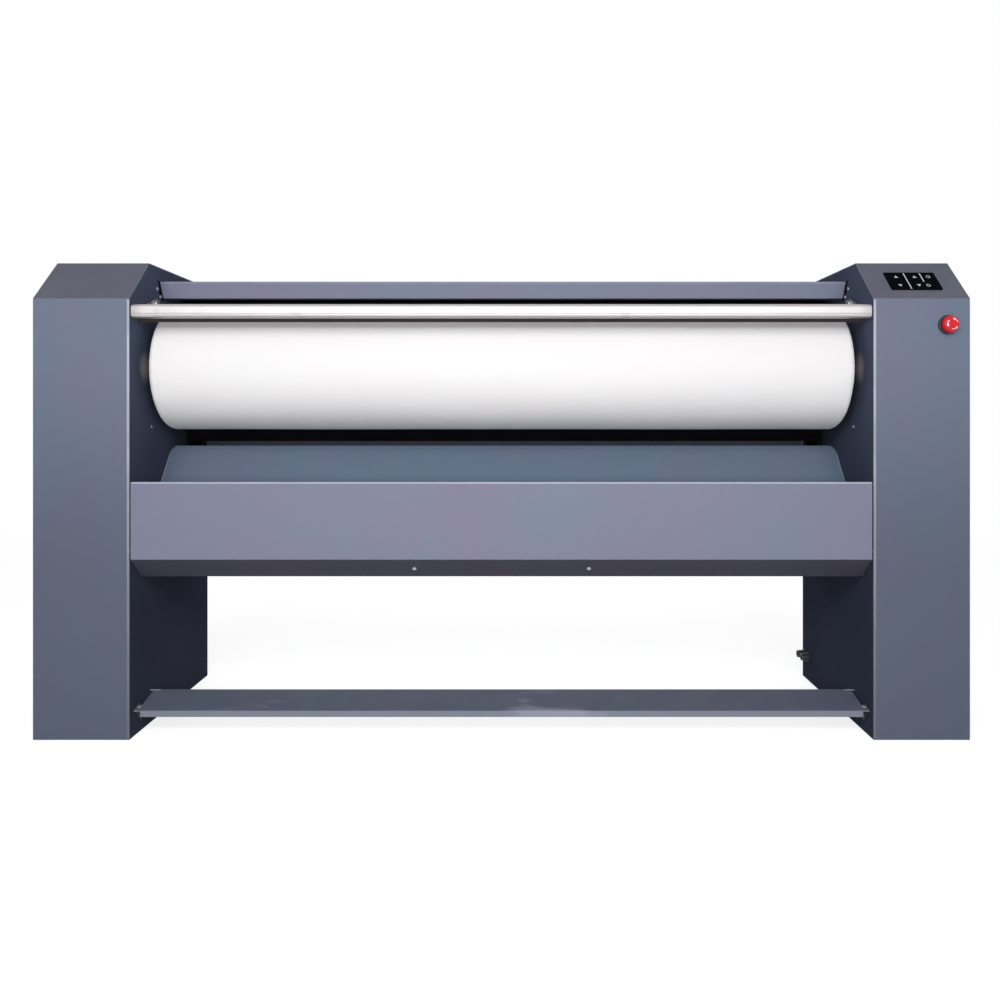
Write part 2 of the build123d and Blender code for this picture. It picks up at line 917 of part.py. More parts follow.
with BuildPart() as shoe_insulation:
    with BuildSketch(closed_shoe_plane(-shoe_half)):
        ring_sector(insulation_inner, insulation_outer, shoe_low_angle, shoe_high_angle)
    extrude(amount=2 * shoe_half)
save(shoe_insulation, "shoe_insulation")

with BuildPart() as shoe_cover:
    with BuildSketch(closed_shoe_plane(-shoe_half)):
        ring_sector(insulation_outer, shoe_cover_outer, shoe_low_angle, shoe_high_angle)
        ring_sector(
            shoe_outer, shoe_cover_outer, shoe_high_angle, shoe_high_angle + shoe_cover_angle
        )
        ring_sector(
            shoe_outer, shoe_cover_outer, shoe_low_angle - shoe_cover_angle, shoe_low_angle
        )
    extrude(amount=2 * shoe_half)
save(shoe_cover, "shoe_cover")

with BuildPart() as shoe_arms:
    for _, side in sides:
        with BuildSketch(closed_shoe_plane(side * shoe_half)):
            ring_sector(shoe_outer, shoe_cover_outer, shoe_low_angle, shoe_high_angle)
            with BuildLine():
                Polyline(
                    (-shoe_arm_hub, 0),
                    (shoe_arm_hub, 0),
                    around_roll(insulation_outer, shoe_arm_high_angle),
                    around_roll(insulation_outer, shoe_arm_low_angle),
                    close=True,
                )
            make_face()
            Circle(shoe_arm_hub)
            Circle(shoe_shaft_radius, mode=Mode.SUBTRACT)
            with Locations(*heater_places):
                Circle(heater_radius + heater_hole_clearance, mode=Mode.SUBTRACT)
        extrude(amount=side * shoe_arm_thickness)
save(shoe_arms, "shoe_arms")

with BuildPart() as shoe_shaft:
    with BuildSketch(closed_shoe_plane(-(lever_x + lever_thickness))):
        Circle(shoe_shaft_radius)
    extrude(amount=2 * (lever_x + lever_thickness))
save(shoe_shaft, "shoe_shaft")

shoe_pivot = (shoe_pivot_depth, shoe_pivot_height)
rod_top = (rod_depth, shoe_pivot_height)
with BuildPart() as shoe_levers:
    for _, side in sides:
        with BuildSketch(side_plane(side * lever_x)):
            with Locations(shoe_pivot):
                Circle(lever_hub_radius)
            with Locations(rod_top):
                Circle(lever_eye_radius)
            make_hull()
            with Locations(shoe_pivot):
                Circle(shoe_shaft_radius, mode=Mode.SUBTRACT)
        extrude(amount=side * lever_thickness)
        with BuildSketch(side_plane(side * (lever_x + lever_thickness))):
            with Locations(rod_top):
                Circle(rod_pin_radius)
        extrude(amount=side * (rod_pin_x - lever_x - lever_thickness))
save(shoe_levers, "shoe_levers")

with BuildPart() as shoe_bushes:
    for _, side in sides:
        with BuildSketch(side_plane(side * frame_x)):
            with Locations(shoe_pivot):
                Circle(bush_radius)
                Circle(shoe_shaft_radius + running_fit, mode=Mode.SUBTRACT)
        extrude(amount=side * bush_length)
save(shoe_bushes, "shoe_bushes")

# ---------------------------------------------------------------------------------------------
# Treadle, pull rods and return springs
# ---------------------------------------------------------------------------------------------
def gusset_corner(along, drop):
    """Corner of the treadle's gusset: along the plate's underside from the stub, and below it."""
    depth = treadle_stub_depth + along
    underside = (
        treadle_front_height
        + (depth - treadle_front_depth) * math.tan(treadle_slope)
        - treadle_thickness / math.cos(treadle_slope)
    )
    return depth, underside + drop


with BuildPart() as treadle_plate:
    with BuildSketch(side_plane(-treadle_half)):
        with BuildLine():
            tread = FilletPolyline(
                (treadle_front_depth, treadle_front_height - treadle_lip),
                (treadle_front_depth, treadle_front_height),
                (treadle_back_depth, treadle_back_height),
                radius=bend_radius,
            )
            offset(tread, amount=treadle_thickness, side=Side.RIGHT)
        make_face()
    extrude(amount=2 * treadle_half)
    # Behind its tips the plate is narrower, its back corners are cut away and its lip is shorter
    with BuildSketch(level_plane(0)):
        for _, side in sides:
            with BuildLine():
                Polyline(
                    (side * treadle_half, treadle_front_depth + treadle_tip_depth),
                    (side * tread_half, treadle_front_depth + treadle_tip_depth),
                    (side * tread_half, treadle_back_depth - treadle_corner_depth),
                    (side * (tread_half - treadle_corner_x), treadle_back_depth),
                    (side * treadle_half, treadle_back_depth),
                    close=True,
                )
            make_face()
    extrude(amount=2 * treadle_back_height, mode=Mode.SUBTRACT)
    with BuildSketch(front_plane(0)):
        with Locations(
            (-(lip_half + treadle_half) / 2, lip_cut_height),
            ((lip_half + treadle_half) / 2, lip_cut_height),
        ):
            Rectangle(treadle_half - lip_half, treadle_lip)
    extrude(amount=-treadle_back_depth / 2, mode=Mode.SUBTRACT)
    # Gussets under the plate near its ends, which hold the treadle arms
    for _, side in sides:
        with BuildSketch(side_plane(side * gusset_x)):
            with BuildLine():
                Polyline(
                    gusset_corner(-gusset_length / 2, 0),
                    gusset_corner(gusset_length / 2, 0),
                    gusset_corner(gusset_length / 2, -gusset_drop),
                    gusset_corner(-gusset_length / 2, -gusset_drop),
                    close=True,
                )
            make_face()
        extrude(amount=side * gusset_thickness)
save(treadle_plate, "treadle_plate")

treadle_pivot = (treadle_pivot_depth, treadle_pivot_height)
treadle_stub = (treadle_stub_depth, stub_height)
rod_foot = (rod_pin_depth, rod_pin_height)
with BuildPart() as treadle_arms:
    for _, side in sides:
        with BuildSketch(side_plane(side * lever_x)):
            with Locations(treadle_pivot):
                Circle(treadle_arm_hub)
            with Locations(treadle_stub):
                Circle(treadle_stub_radius + treadle_slot_margin)
            make_hull()
            with Locations((spring_depth, spring_eye_height)):
                Circle(spring_eye_radius)
            with Locations(rod_foot):
                Circle(lever_eye_radius)
            with Locations(treadle_pivot):
                Circle(treadle_pin_radius + running_fit, mode=Mode.SUBTRACT)
        extrude(amount=side * lever_thickness)
        with BuildSketch(side_plane(side * (gusset_x + gusset_thickness))):
            with Locations(treadle_stub):
                Circle(treadle_stub_radius)
        extrude(amount=side * (lever_x - gusset_x - gusset_thickness))
        with BuildSketch(side_plane(side * (lever_x + lever_thickness))):
            with Locations(rod_foot):
                Circle(rod_pin_radius)
        extrude(amount=side * (rod_pin_x - lever_x - lever_thickness))
save(treadle_arms, "treadle_arms")

# Pins welded to the side plates: the treadle's pivots and the upper ends of the springs
with BuildPart() as pivot_pins:
    for _, side in sides:
        with BuildSketch(side_plane(side * frame_x)):
            with Locations(treadle_pivot):
                Circle(treadle_pin_radius)
        extrude(amount=side * (lever_x + lever_thickness + side_gap - frame_x))
        with BuildSketch(side_plane(side * (lever_x + lever_thickness + side_gap))):
            with Locations(treadle_pivot):
                Circle(treadle_pin_radius + side_gap)
        extrude(amount=side * side_gap)
        with BuildSketch(side_plane(side * frame_x)):
            with Locations((spring_depth, spring_post_height)):
                Circle(spring_post_radius)
        extrude(amount=side * (spring_x + spring_coil_radius - frame_x + side_gap))
save(pivot_pins, "pivot_pins")

with BuildPart() as pull_rods:
    for _, side in sides:
        with BuildSketch(side_plane(side * rod_x)):
            with Locations(rod_top, rod_foot):
                Circle(rod_width / 2)
            make_hull()
            with Locations(rod_top, rod_foot):
                Circle(lever_eye_radius)
            with Locations(rod_top):
                Circle(rod_pin_radius + running_fit, mode=Mode.SUBTRACT)
            with Locations(rod_foot):
                Circle(rod_pin_radius + open_pivot_clearance, mode=Mode.SUBTRACT)
        extrude(amount=side * rod_thickness)
save(pull_rods, "pull_rods")

for name, side in sides:
    with BuildPart() as return_spring:
        start = (side * spring_x, front_y + spring_depth, spring_low)
        with BuildLine():
            coil = Helix(spring_pitch, spring_length, spring_coil_radius, center=start)
        with BuildSketch(Plane(origin=coil @ 0, z_dir=coil % 0)):
            Circle(spring_wire_radius)
        sweep(path=coil, is_frenet=True)
    save(return_spring, f"{name}_spring")

with BuildPart() as treadle_switch:
    with BuildSketch(side_plane(frame_x)):
        with Locations((treadle_pivot_depth - switch_size, switch_middle_height)):
            Rectangle(switch_size, switch_height)
    extrude(amount=switch_width)
    with BuildSketch(side_plane(frame_x + switch_width / 2)):
        with Locations((treadle_pivot_depth - switch_size, switch_roller_height)):
            Circle(switch_roller_radius)
    extrude(amount=switch_width / 2)
save(treadle_switch, "treadle_switch")

# ---------------------------------------------------------------------------------------------
# Finger guard
# ---------------------------------------------------------------------------------------------
guard_half = wall_x - bay_gap
guard_middle = (guard_thickness / 2, guard_low + guard_height / 2)
guard_pivot = (guard_pivot_depth, guard_pivot_height)
with BuildPart() as guard_bar:
    with BuildSketch(side_plane(-guard_half)):
        with Locations(guard_middle):
            RectangleRounded(guard_thickness, guard_height, guard_corner)
    extrude(amount=2 * guard_half)
    with BuildSketch(side_plane(guard_wall - guard_half)):
        with Locations(guard_middle):
            RectangleRounded(
                guard_thickness - 2 * guard_wall,
                guard_height - 2 * guard_wall,
                guard_corner - guard_wall,
            )
    extrude(amount=2 * (guard_half - guard_wall), mode=Mode.SUBTRACT)
save(guard_bar, "guard_bar")

guard_arm_x = guard_half - guard_arm_thickness
with BuildPart() as guard_arms:
    for _, side in sides:
        with BuildSketch(side_plane(side * guard_arm_x)):
            with Locations((guard_thickness + guard_arm_width / 4, guard_middle[1])):
                Rectangle(guard_arm_width / 2, guard_arm_width)
            with Locations(guard_pivot):
                Circle(guard_hub_radius)
            make_hull()
            with Locations(guard_pivot):
                Circle(guard_pin_radius + running_fit, mode=Mode.SUBTRACT)
        extrude(amount=side * guard_arm_thickness)
save(guard_arms, "guard_arms")

with BuildPart() as guard_pins:
    for _, side in sides:
        with BuildSketch(side_plane(side * wall_x)):
            with Locations(guard_pivot):
                Circle(guard_pin_radius)
        extrude(amount=-side * (wall_x - guard_arm_x + side_gap))
        with BuildSketch(side_plane(side * (guard_arm_x - side_gap))):
            with Locations(guard_pivot):
                Circle(guard_pin_head)
        extrude(amount=-side * screw_head)
save(guard_pins, "guard_pins")

# ---------------------------------------------------------------------------------------------
# Emergency stop on the right column's front
# ---------------------------------------------------------------------------------------------
estop_place = (estop_x, estop_height)
with BuildPart() as estop_collar:
    with BuildSketch(front_plane(0)):
        with Locations(estop_place):
            Circle(estop_collar_radius)
    extrude(amount=estop_collar_height)
    chamfer(estop_collar.faces().sort_by(Axis.Y)[0].edges(), estop_collar_chamfer)
    with BuildSketch(front_plane(0)):
        with Locations(estop_place):
            Circle(estop_stem_radius + running_fit)
    extrude(amount=estop_collar_height, mode=Mode.SUBTRACT)
save(estop_collar, "estop_collar")

with BuildPart() as estop_stem:
    with BuildSketch(front_plane(estop_stem_inside)):
        with Locations(estop_place):
            Circle(estop_stem_radius)
    extrude(amount=estop_stem_inside + estop_head_low + estop_socket)
save(estop_stem, "estop_stem")

with BuildPart() as estop_head:
    with BuildSketch(front_plane(-estop_head_low)):
        with Locations(estop_place):
            Circle(estop_skirt_radius)
    with BuildSketch(front_plane(-estop_head_low - estop_head_height / 2)):
        with Locations(estop_place):
            Circle(estop_head_radius)
    loft()
    with BuildSketch(front_plane(-estop_head_low - estop_head_height / 2)):
        with Locations(estop_place):
            Circle(estop_head_radius)
    extrude(amount=estop_head_height / 2)
    fillet(estop_head.faces().sort_by(Axis.Y)[0].edges(), estop_head_round)
    with BuildSketch(front_plane(-estop_head_low)):
        with Locations(estop_place):
            Circle(estop_stem_radius + running_fit)
    extrude(amount=estop_socket + running_fit, mode=Mode.SUBTRACT)
save(estop_head, "estop_head")

with BuildPart() as contact_block:
    with BuildSketch(front_plane(sheet)):
        with Locations(estop_place):
            Rectangle(contact_block_size, contact_block_size)
    extrude(amount=-contact_block_length)
    with BuildSketch(front_plane(sheet)):
        with Locations(estop_place):
            Circle(estop_hole_radius)
    extrude(amount=-(estop_stem_inside + 2 * estop_travel), mode=Mode.SUBTRACT)
save(contact_block, "contact_block")

# ---------------------------------------------------------------------------------------------
# Key pad on the right facet
# ---------------------------------------------------------------------------------------------
key_places = [
    (place - keypad_width / 2, keypad_along + row)
    for row, places in ((upper_key_row, upper_key_places), (lower_key_row, lower_key_places))
    for place in places
]
with BuildPart() as keypad_bezel:
    with BuildSketch(facet_plane):
        with Locations((0, keypad_along + keypad_height / 2)):
            RectangleRounded(keypad_width, keypad_height, key_corner)
        with Locations(*key_places):
            RectangleRounded(
                key_width + 2 * key_gap, key_height + 2 * key_gap, key_corner, mode=Mode.SUBTRACT
            )
    extrude(amount=keypad_thickness)
save(keypad_bezel, "keypad_bezel")

for number, place in enumerate(key_places, start=1):
    with BuildPart() as key:
        with BuildSketch(facet_plane.offset(key_lift)):
            with Locations(place):
                RectangleRounded(key_width, key_height, key_corner)
        extrude(amount=keypad_thickness + key_proud - key_lift)
    save(key, f"key_{number}")

with BuildPart() as keypad_board:
    with BuildSketch(facet_plane.offset(-sheet - board_standoff)):
        with Locations((0, keypad_along + keypad_height / 2)):
            Rectangle(keypad_width, keypad_height)
    extrude(amount=-board_thickness)
    with BuildSketch(facet_plane.offset(-sheet - board_standoff)):
        with Locations((0, keypad_along + keypad_height / 2)):
            with GridLocations(
                keypad_width - 4 * board_post_radius, keypad_height - 4 * board_post_radius, 2, 2
            ):
                Circle(board_post_radius)
    extrude(amount=board_standoff)
save(keypad_board, "keypad_board")

# ---------------------------------------------------------------------------------------------
# Chain drive in the right column
# ---------------------------------------------------------------------------------------------
motor_centre = (motor_depth, motor_height)


def chain_point(distance):
    """Point of the chain's pitch line, in depth and height, a distance along the loop."""
    small_arc = (math.pi - 2 * chain_slant) * motor_pitch_radius
    top = math.pi / 2 - chain_slant
    if distance < chain_straight:
        along = roll_pitch_radius * math.cos(top) + distance * math.cos(chain_slant)
        across = roll_pitch_radius * math.sin(top) - distance * math.sin(chain_slant)
    elif distance < chain_straight + small_arc:
        angle = top - (distance - chain_straight) / motor_pitch_radius
        along = motor_distance + motor_pitch_radius * math.cos(angle)
        across = motor_pitch_radius * math.sin(angle)
    elif distance < 2 * chain_straight + small_arc:
        back = distance - chain_straight - small_arc
        along = motor_distance + motor_pitch_radius * math.cos(top) - back * math.cos(chain_slant)
        across = -motor_pitch_radius * math.sin(top) - back * math.sin(chain_slant)
    else:
        angle = -top - (distance - 2 * chain_straight - small_arc) / roll_pitch_radius
        along = roll_pitch_radius * math.cos(angle)
        across = roll_pitch_radius * math.sin(angle)
    return (
        roll_depth + along * math.cos(motor_direction) - across * math.sin(motor_direction),
        roll_height + along * math.sin(motor_direction) + across * math.cos(motor_direction),
    )


chain_pins = [chain_point(index * chain_pitch) for index in range(chain_links)]


def tooth_angles(centre, pitch_radius, teeth):
    """Angles of the tooth gaps, so that they meet the rollers that lie on this sprocket."""
    on_wheel = [
        pin for pin in chain_pins if abs(math.dist(pin, centre) - pitch_radius) < pin_tolerance
    ]
    first = on_wheel[len(on_wheel) // 2]
    start = math.degrees(math.atan2(first[1] - centre[1], first[0] - centre[0]))
    return [start + 360 * index / teeth for index in range(teeth)]


def sprocket(centre, pitch_radius, teeth, bore, hub_radius):
    """Sprocket with a hub on its inner side."""
    gaps = [
        (
            centre[0] + pitch_radius * math.cos(math.radians(angle)),
            centre[1] + pitch_radius * math.sin(math.radians(angle)),
        )
        for angle in tooth_angles(centre, pitch_radius, teeth)
    ]
    with BuildPart() as wheel:
        with BuildSketch(side_plane(sprocket_x - sprocket_width / 2)):
            with Locations(centre):
                Circle(pitch_radius + tooth_height)
            with Locations(*gaps):
                Circle(roller_radius + tooth_gap_fit, mode=Mode.SUBTRACT)
        extrude(amount=sprocket_width)
        with BuildSketch(side_plane(sprocket_x - sprocket_hub_length)):
            with Locations(centre):
                Circle(hub_radius)
        extrude(amount=sprocket_hub_length)
        with BuildSketch(side_plane(sprocket_x - sprocket_hub_length)):
            with Locations(centre):
                Circle(bore)
        extrude(amount=2 * sprocket_hub_length, mode=Mode.SUBTRACT)
    return wheel


roll_sprocket = sprocket(
    roll_centre, roll_pitch_radius, roll_teeth, roll_shaft_radius, bearing_hub_radius
)
save(roll_sprocket, "roll_sprocket")
motor_sprocket = sprocket(
    motor_centre, motor_pitch_radius, motor_teeth, output_shaft_radius, output_hub_radius
)
save(motor_sprocket, "motor_sprocket")

with BuildPart() as output_shaft:
    with BuildSketch(side_plane(sprocket_x - sprocket_hub_length)):
        with Locations(motor_centre):
            Circle(output_shaft_radius)
    extrude(amount=gearbox_x + output_shaft_depth - sprocket_x + sprocket_hub_length)
save(output_shaft, "output_shaft")

inner_low = roller_width / 2
inner_high = inner_low + link_plate
outer_low = inner_high + link_gap
outer_high = outer_low + link_plate
pin_pair = ((-chain_pitch / 2, 0), (chain_pitch / 2, 0))

with BuildPart() as inner_link:
    with BuildSketch(Plane.XY.offset(-inner_low)):
        with Locations(*pin_pair):
            Circle(roller_radius)
    extrude(amount=roller_width)
    for height in (-inner_high, inner_low):
        with BuildSketch(Plane.XY.offset(height)):
            SlotCenterToCenter(chain_pitch, link_height)
        extrude(amount=link_plate)
    with BuildSketch(Plane.XY.offset(-inner_high)):
        with Locations(*pin_pair):
            Circle(link_pin_radius + link_pin_fit)
    extrude(amount=2 * inner_high, mode=Mode.SUBTRACT)

with BuildPart() as outer_link:
    with BuildSketch(Plane.XY.offset(-outer_high)):
        with Locations(*pin_pair):
            Circle(link_pin_radius)
    extrude(amount=2 * outer_high)
    for height in (-outer_high, outer_low):
        with BuildSketch(Plane.XY.offset(height)):
            SlotCenterToCenter(chain_pitch, link_height)
        extrude(amount=link_plate)


def link_place(index):
    """Place of one link on the chain loop."""
    start = chain_pins[index]
    end = chain_pins[(index + 1) % chain_links]
    middle = ((start[0] + end[0]) / 2, (start[1] + end[1]) / 2)
    return Plane(
        origin=(sprocket_x, front_y + middle[0], middle[1]),
        x_dir=(0, end[0] - start[0], end[1] - start[1]),
        z_dir=(1, 0, 0),
    ).location


with BuildPart() as drive_chain:
    with Locations(*[link_place(index) for index in range(0, chain_links, 2)]):
        add(inner_link.part, clean=False)
    with Locations(*[link_place(index) for index in range(1, chain_links, 2)]):
        add(outer_link.part, clean=False)
save(drive_chain, "drive_chain")

with BuildPart() as motor_bracket:
    with BuildSketch(side_plane(bracket_x)):
        with Locations(motor_centre):
            RectangleRounded(bracket_width, bracket_height, bracket_post_radius)
            Circle(output_hub_radius, mode=Mode.SUBTRACT)
    extrude(amount=bracket_plate)
    with BuildSketch(side_plane(frame_x)):
        with Locations(motor_centre):
            with GridLocations(
                bracket_width - 2 * bracket_post_inset_depth,
                bracket_height - 2 * bracket_post_inset_height,
                2,
                2,
            ):
                Circle(bracket_post_radius)
    extrude(amount=bracket_x - frame_x)
save(motor_bracket, "motor_bracket")

with BuildPart() as gearbox:
    with BuildSketch(side_plane(gearbox_x)):
        with Locations(motor_centre):
            Rectangle(gearbox_size, gearbox_size)
    extrude(amount=gearbox_length)
    fillet(gearbox.edges().filter_by(Axis.X), gearbox_corner)
    with BuildSketch(side_plane(gearbox_x)):
        with Locations(motor_centre):
            Circle(output_shaft_radius + running_fit)
    extrude(amount=output_shaft_depth + side_gap, mode=Mode.SUBTRACT)
save(gearbox, "gearbox")

motor_x = gearbox_x + gearbox_length / 2
motor_neck_top = motor_height - gearbox_size / 2
motor_top = motor_neck_top - motor_neck_length
with BuildPart() as motor:
    with BuildSketch(level_plane(motor_neck_top)):
        with Locations((motor_x, motor_depth)):
            Circle(motor_neck_radius)
    extrude(amount=-motor_neck_length)
    with BuildSketch(level_plane(motor_top)):
        with Locations((motor_x, motor_depth)):
            Circle(motor_radius - motor_cowl_lip)
    extrude(amount=-motor_length)
    with BuildSketch(level_plane(motor_top - motor_length)):
        with Locations((motor_x, motor_depth)):
            Circle(motor_radius)
    extrude(amount=-motor_cowl_length)
    with BuildSketch(front_plane(motor_depth)):
        with Locations((motor_x, motor_top - motor_length / 2)):
            Rectangle(terminal_box_size, terminal_box_size)
    extrude(amount=motor_radius + terminal_box_reach)
save(motor, "motor")

# ---------------------------------------------------------------------------------------------
# Boxes inside the columns and the cable glands
# ---------------------------------------------------------------------------------------------
with BuildPart() as control_box:
    with BuildSketch(front_plane(sheet)):
        with Locations(
            (cover_x - side_gap - control_box_width / 2, control_box_low + control_box_height / 2)
        ):
            RectangleRounded(control_box_width, control_box_height, bend_radius)
    extrude(amount=-control_box_depth)
save(control_box, "control_box")

with BuildPart() as heater_box:
    with BuildSketch(side_plane(-frame_x)):
        with Locations(
            (
                shoe_pivot_depth - heater_box_depth / 2,
                heater_box_low + heater_box_height / 2,
            )
        ):
            RectangleRounded(heater_box_depth, heater_box_height, bend_radius)
    extrude(amount=-heater_box_width)
save(heater_box, "heater_box")

with BuildPart() as cable_glands:
    for depth in gland_depths:
        with BuildSketch(side_plane(wall_x)):
            with Locations((depth, gland_height)):
                RegularPolygon(radius=gland_hex_radius, side_count=6)
        extrude(amount=-gland_hex_height)
        with BuildSketch(side_plane(wall_x - gland_hex_height)):
            with Locations((depth, gland_height)):
                Circle(gland_cap_radius)
        extrude(amount=-gland_cap_height, taper=gland_taper)
        with BuildSketch(side_plane(wall_x)):
            with Locations((depth, gland_height)):
                Circle(gland_cap_radius)
        extrude(amount=sheet)
        with BuildSketch(side_plane(wall_back_x)):
            with Locations((depth, gland_height)):
                Circle(gland_bore_radius)
        extrude(amount=-(sheet + gland_hex_height + gland_cap_height), mode=Mode.SUBTRACT)
save(cable_glands, "cable_glands")
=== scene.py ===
"""Looks of a single-roll flatwork ironer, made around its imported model.

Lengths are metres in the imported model's frame: +X to the right as seen from the front, the
front faces -Y, +Z up, and the floor is z = 0.
"""

import logging
import math
from abc import ABC, abstractmethod
from dataclasses import dataclass
from enum import Enum
from typing import Callable

import bmesh
import bpy
import numpy as np
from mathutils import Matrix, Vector
from numpy.typing import NDArray


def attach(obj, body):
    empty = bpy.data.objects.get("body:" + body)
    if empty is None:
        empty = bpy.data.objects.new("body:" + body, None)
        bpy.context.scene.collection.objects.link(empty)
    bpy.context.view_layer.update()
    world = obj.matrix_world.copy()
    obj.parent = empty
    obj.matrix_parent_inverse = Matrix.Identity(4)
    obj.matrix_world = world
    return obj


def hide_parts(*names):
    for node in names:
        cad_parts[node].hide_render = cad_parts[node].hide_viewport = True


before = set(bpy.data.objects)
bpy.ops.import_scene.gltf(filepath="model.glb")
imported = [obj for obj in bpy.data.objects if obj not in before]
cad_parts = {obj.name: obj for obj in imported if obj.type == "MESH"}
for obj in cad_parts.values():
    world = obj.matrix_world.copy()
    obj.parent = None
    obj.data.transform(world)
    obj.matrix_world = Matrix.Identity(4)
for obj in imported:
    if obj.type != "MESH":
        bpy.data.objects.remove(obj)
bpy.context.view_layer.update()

LOG = logging.getLogger("ironer")
FRONT_Y = -0.218
WALL_X = 0.842
ROLL_Y = FRONT_Y + 0.183
ROLL_Z = 0.850
ROLL_MIDDLE = np.array([0.0, ROLL_Y, ROLL_Z])
TURN = 2 * math.pi

Colour = tuple[float, float, float]
Array = NDArray[np.float64]
Faces = NDArray[np.int64]
Socket = bpy.types.NodeSocket
Value = float | tuple[float, ...] | Socket


# ---------------------------------------------------------------------------------------------
# Surfaces
# ---------------------------------------------------------------------------------------------


@dataclass(frozen=True)
class Shell:
    """A surface: its points, and the four corner numbers of each face."""

    points: Array
    faces: Faces


def grid_faces(rows: int, columns: int, wrap_rows: bool, wrap_columns: bool) -> Faces:
    """Faces of a grid of points counted row by row.

    Face (i, j) joins the points (i, j), (i, j + 1), (i + 1, j + 1) and (i + 1, j), where the
    last row or column goes on to the first if it wraps.

    Args:
        rows: Number of rows.
        columns: Number of points in a row.
        wrap_rows: Whether the last row joins the first.
        wrap_columns: Whether the last point of a row joins its first.

    Returns:
        One row of four point numbers per face.
    """
    i = np.arange(rows if wrap_rows else rows - 1)[:, None]
    j = np.arange(columns if wrap_columns else columns - 1)[None, :]
    after_i, after_j = (i + 1) % rows, (j + 1) % columns
    corners = [i * columns + j, i * columns + after_j, after_i * columns + after_j]
    corners.append(after_i * columns + j)
    return np.stack(np.broadcast_arrays(*corners), axis=-1).reshape(-1, 4)


def round_shell(grid: Array, wrap_rows: bool) -> Shell:
    """A shell of a grid that wraps round its columns, and round its rows too as a ring does."""
    return Shell(grid.reshape(-1, 3), grid_faces(*grid.shape[:2], wrap_rows, True))


def lofted(rings: Array) -> Shell:
    """A tube through closed rings, with each end closed in a pole at its ring's middle.

    Args:
        rings: Points as rings, points along a ring and three coordinates.

    Returns:
        The closed shell.
    """
    first = np.broadcast_to(rings[:1].mean(axis=1, keepdims=True), rings[:1].shape)
    last = np.broadcast_to(rings[-1:].mean(axis=1, keepdims=True), rings[-1:].shape)
    return round_shell(np.concatenate([first, rings, last]), False)


def slab(top: Array, bottom: Array, wrap_columns: bool = False) -> Shell:
    """A plate between two grids of one shape, with a wall along each open border.

    Args:
        top: Points of the upper side as rows, columns and three coordinates.
        bottom: Points of the lower side, one under each point of the upper side.
        wrap_columns: Whether the last point of a row joins its first.

    Returns:
        The closed shell.
    """
    rows, columns = top.shape[:2]
    count = rows * columns
    sheet = grid_faces(rows, columns, False, wrap_columns)
    index = np.arange(count).reshape(rows, columns)
    if wrap_columns:
        rims = [index[0], index[-1]]
    else:
        sides = [index[0, :-1], index[:-1, -1], index[-1, :0:-1], index[:0:-1, 0]]
        rims = [np.concatenate(sides)]
    walls = [
        np.stack([rim, rim + count, np.roll(rim + count, -1), np.roll(rim, -1)], axis=1)
        for rim in rims
    ]
    points = np.concatenate([top.reshape(-1, 3), bottom.reshape(-1, 3)])
    return Shell(points, np.concatenate([sheet, sheet[:, ::-1] + count, *walls]))


def joined(shells: list[Shell]) -> Shell:
    """Several shells as one, each with its point numbers moved past those before it.

    Args:
        shells: The shells to put together.

    Returns:
        One shell with all their points and faces.
    """
    starts = np.cumsum([0] + [len(shell.points) for shell in shells[:-1]])
    return Shell(
        np.concatenate([shell.points for shell in shells]),
        np.concatenate([shell.faces + start for shell, start in zip(shells, starts)]),
    )


def turned(along: Array, radius: Array, angle: Array, origin: Array, axes: Array) -> Array:
    """Points of a turned surface.

    A point is origin + along * axis + radius * (cos(angle) * first + sin(angle) * second).

    Args:
        along: Place along the axis, as rows by columns or one column.
        radius: Distance from the axis, as rows by columns or one column.
        angle: Angle of each column.
        origin: A point of the axis.
        axes: The axis, the first and the second direction, one in each row.

    Returns:
        The points as rows, columns and three coordinates.
    """
    axis, first, second = axes
    around = np.cos(angle)[..., None] * first + np.sin(angle)[..., None] * second
    return origin + along[..., None] * axis + radius[..., None] * around


def rounded_outline(width: float, height: float, corner: float, steps: int) -> Array:
    """A rectangle with round corners, as points that go once round its middle.

    A corner's points are its centre plus the corner radius at equal steps of a quarter turn.

    Args:
        width: Full width.
        height: Full height.
        corner: Radius of the corners.
        steps: Points in each corner.

    Returns:
        One row of two coordinates per point.
    """
    quarter = np.linspace(0, math.pi / 2, steps)
    parts = []
    for number, (side, rise) in enumerate([(1, 1), (-1, 1), (-1, -1), (1, -1)]):
        turn = quarter + number * math.pi / 2
        centre = np.array([side * (width / 2 - corner), rise * (height / 2 - corner)])
        parts.append(centre + corner * np.stack([np.cos(turn), np.sin(turn)], axis=-1))
    return np.concatenate(parts)


def bend(start: Array, corner: Array, end: Array, radius: float, steps: int = 9) -> Array:
    """A path from start to end whose corner is an arc that touches both runs.

    The arc starts radius * tan(turn / 2) before the corner, and each of its points is a share
    of the turn further round.

    Args:
        start: First point, depth and height.
        corner: The corner that the arc rounds off.
        end: Last point.
        radius: Radius of the arc.
        steps: Number of points on the arc.

    Returns:
        One row of depth and height per point.
    """
    into = (corner - start) / np.linalg.norm(corner - start)
    away = (end - corner) / np.linalg.norm(end - corner)
    turn = math.atan2(into[0] * away[1] - into[1] * away[0], float(into @ away))
    side = math.copysign(1.0, turn) * np.array([-into[1], into[0]])
    first = corner - into * radius * math.tan(abs(turn) / 2)
    angle = np.linspace(0, abs(turn), steps)[:, None]
    arc = first + radius * (np.sin(angle) * into + (1 - np.cos(angle)) * side)
    return np.concatenate([start[None], arc, end[None]])


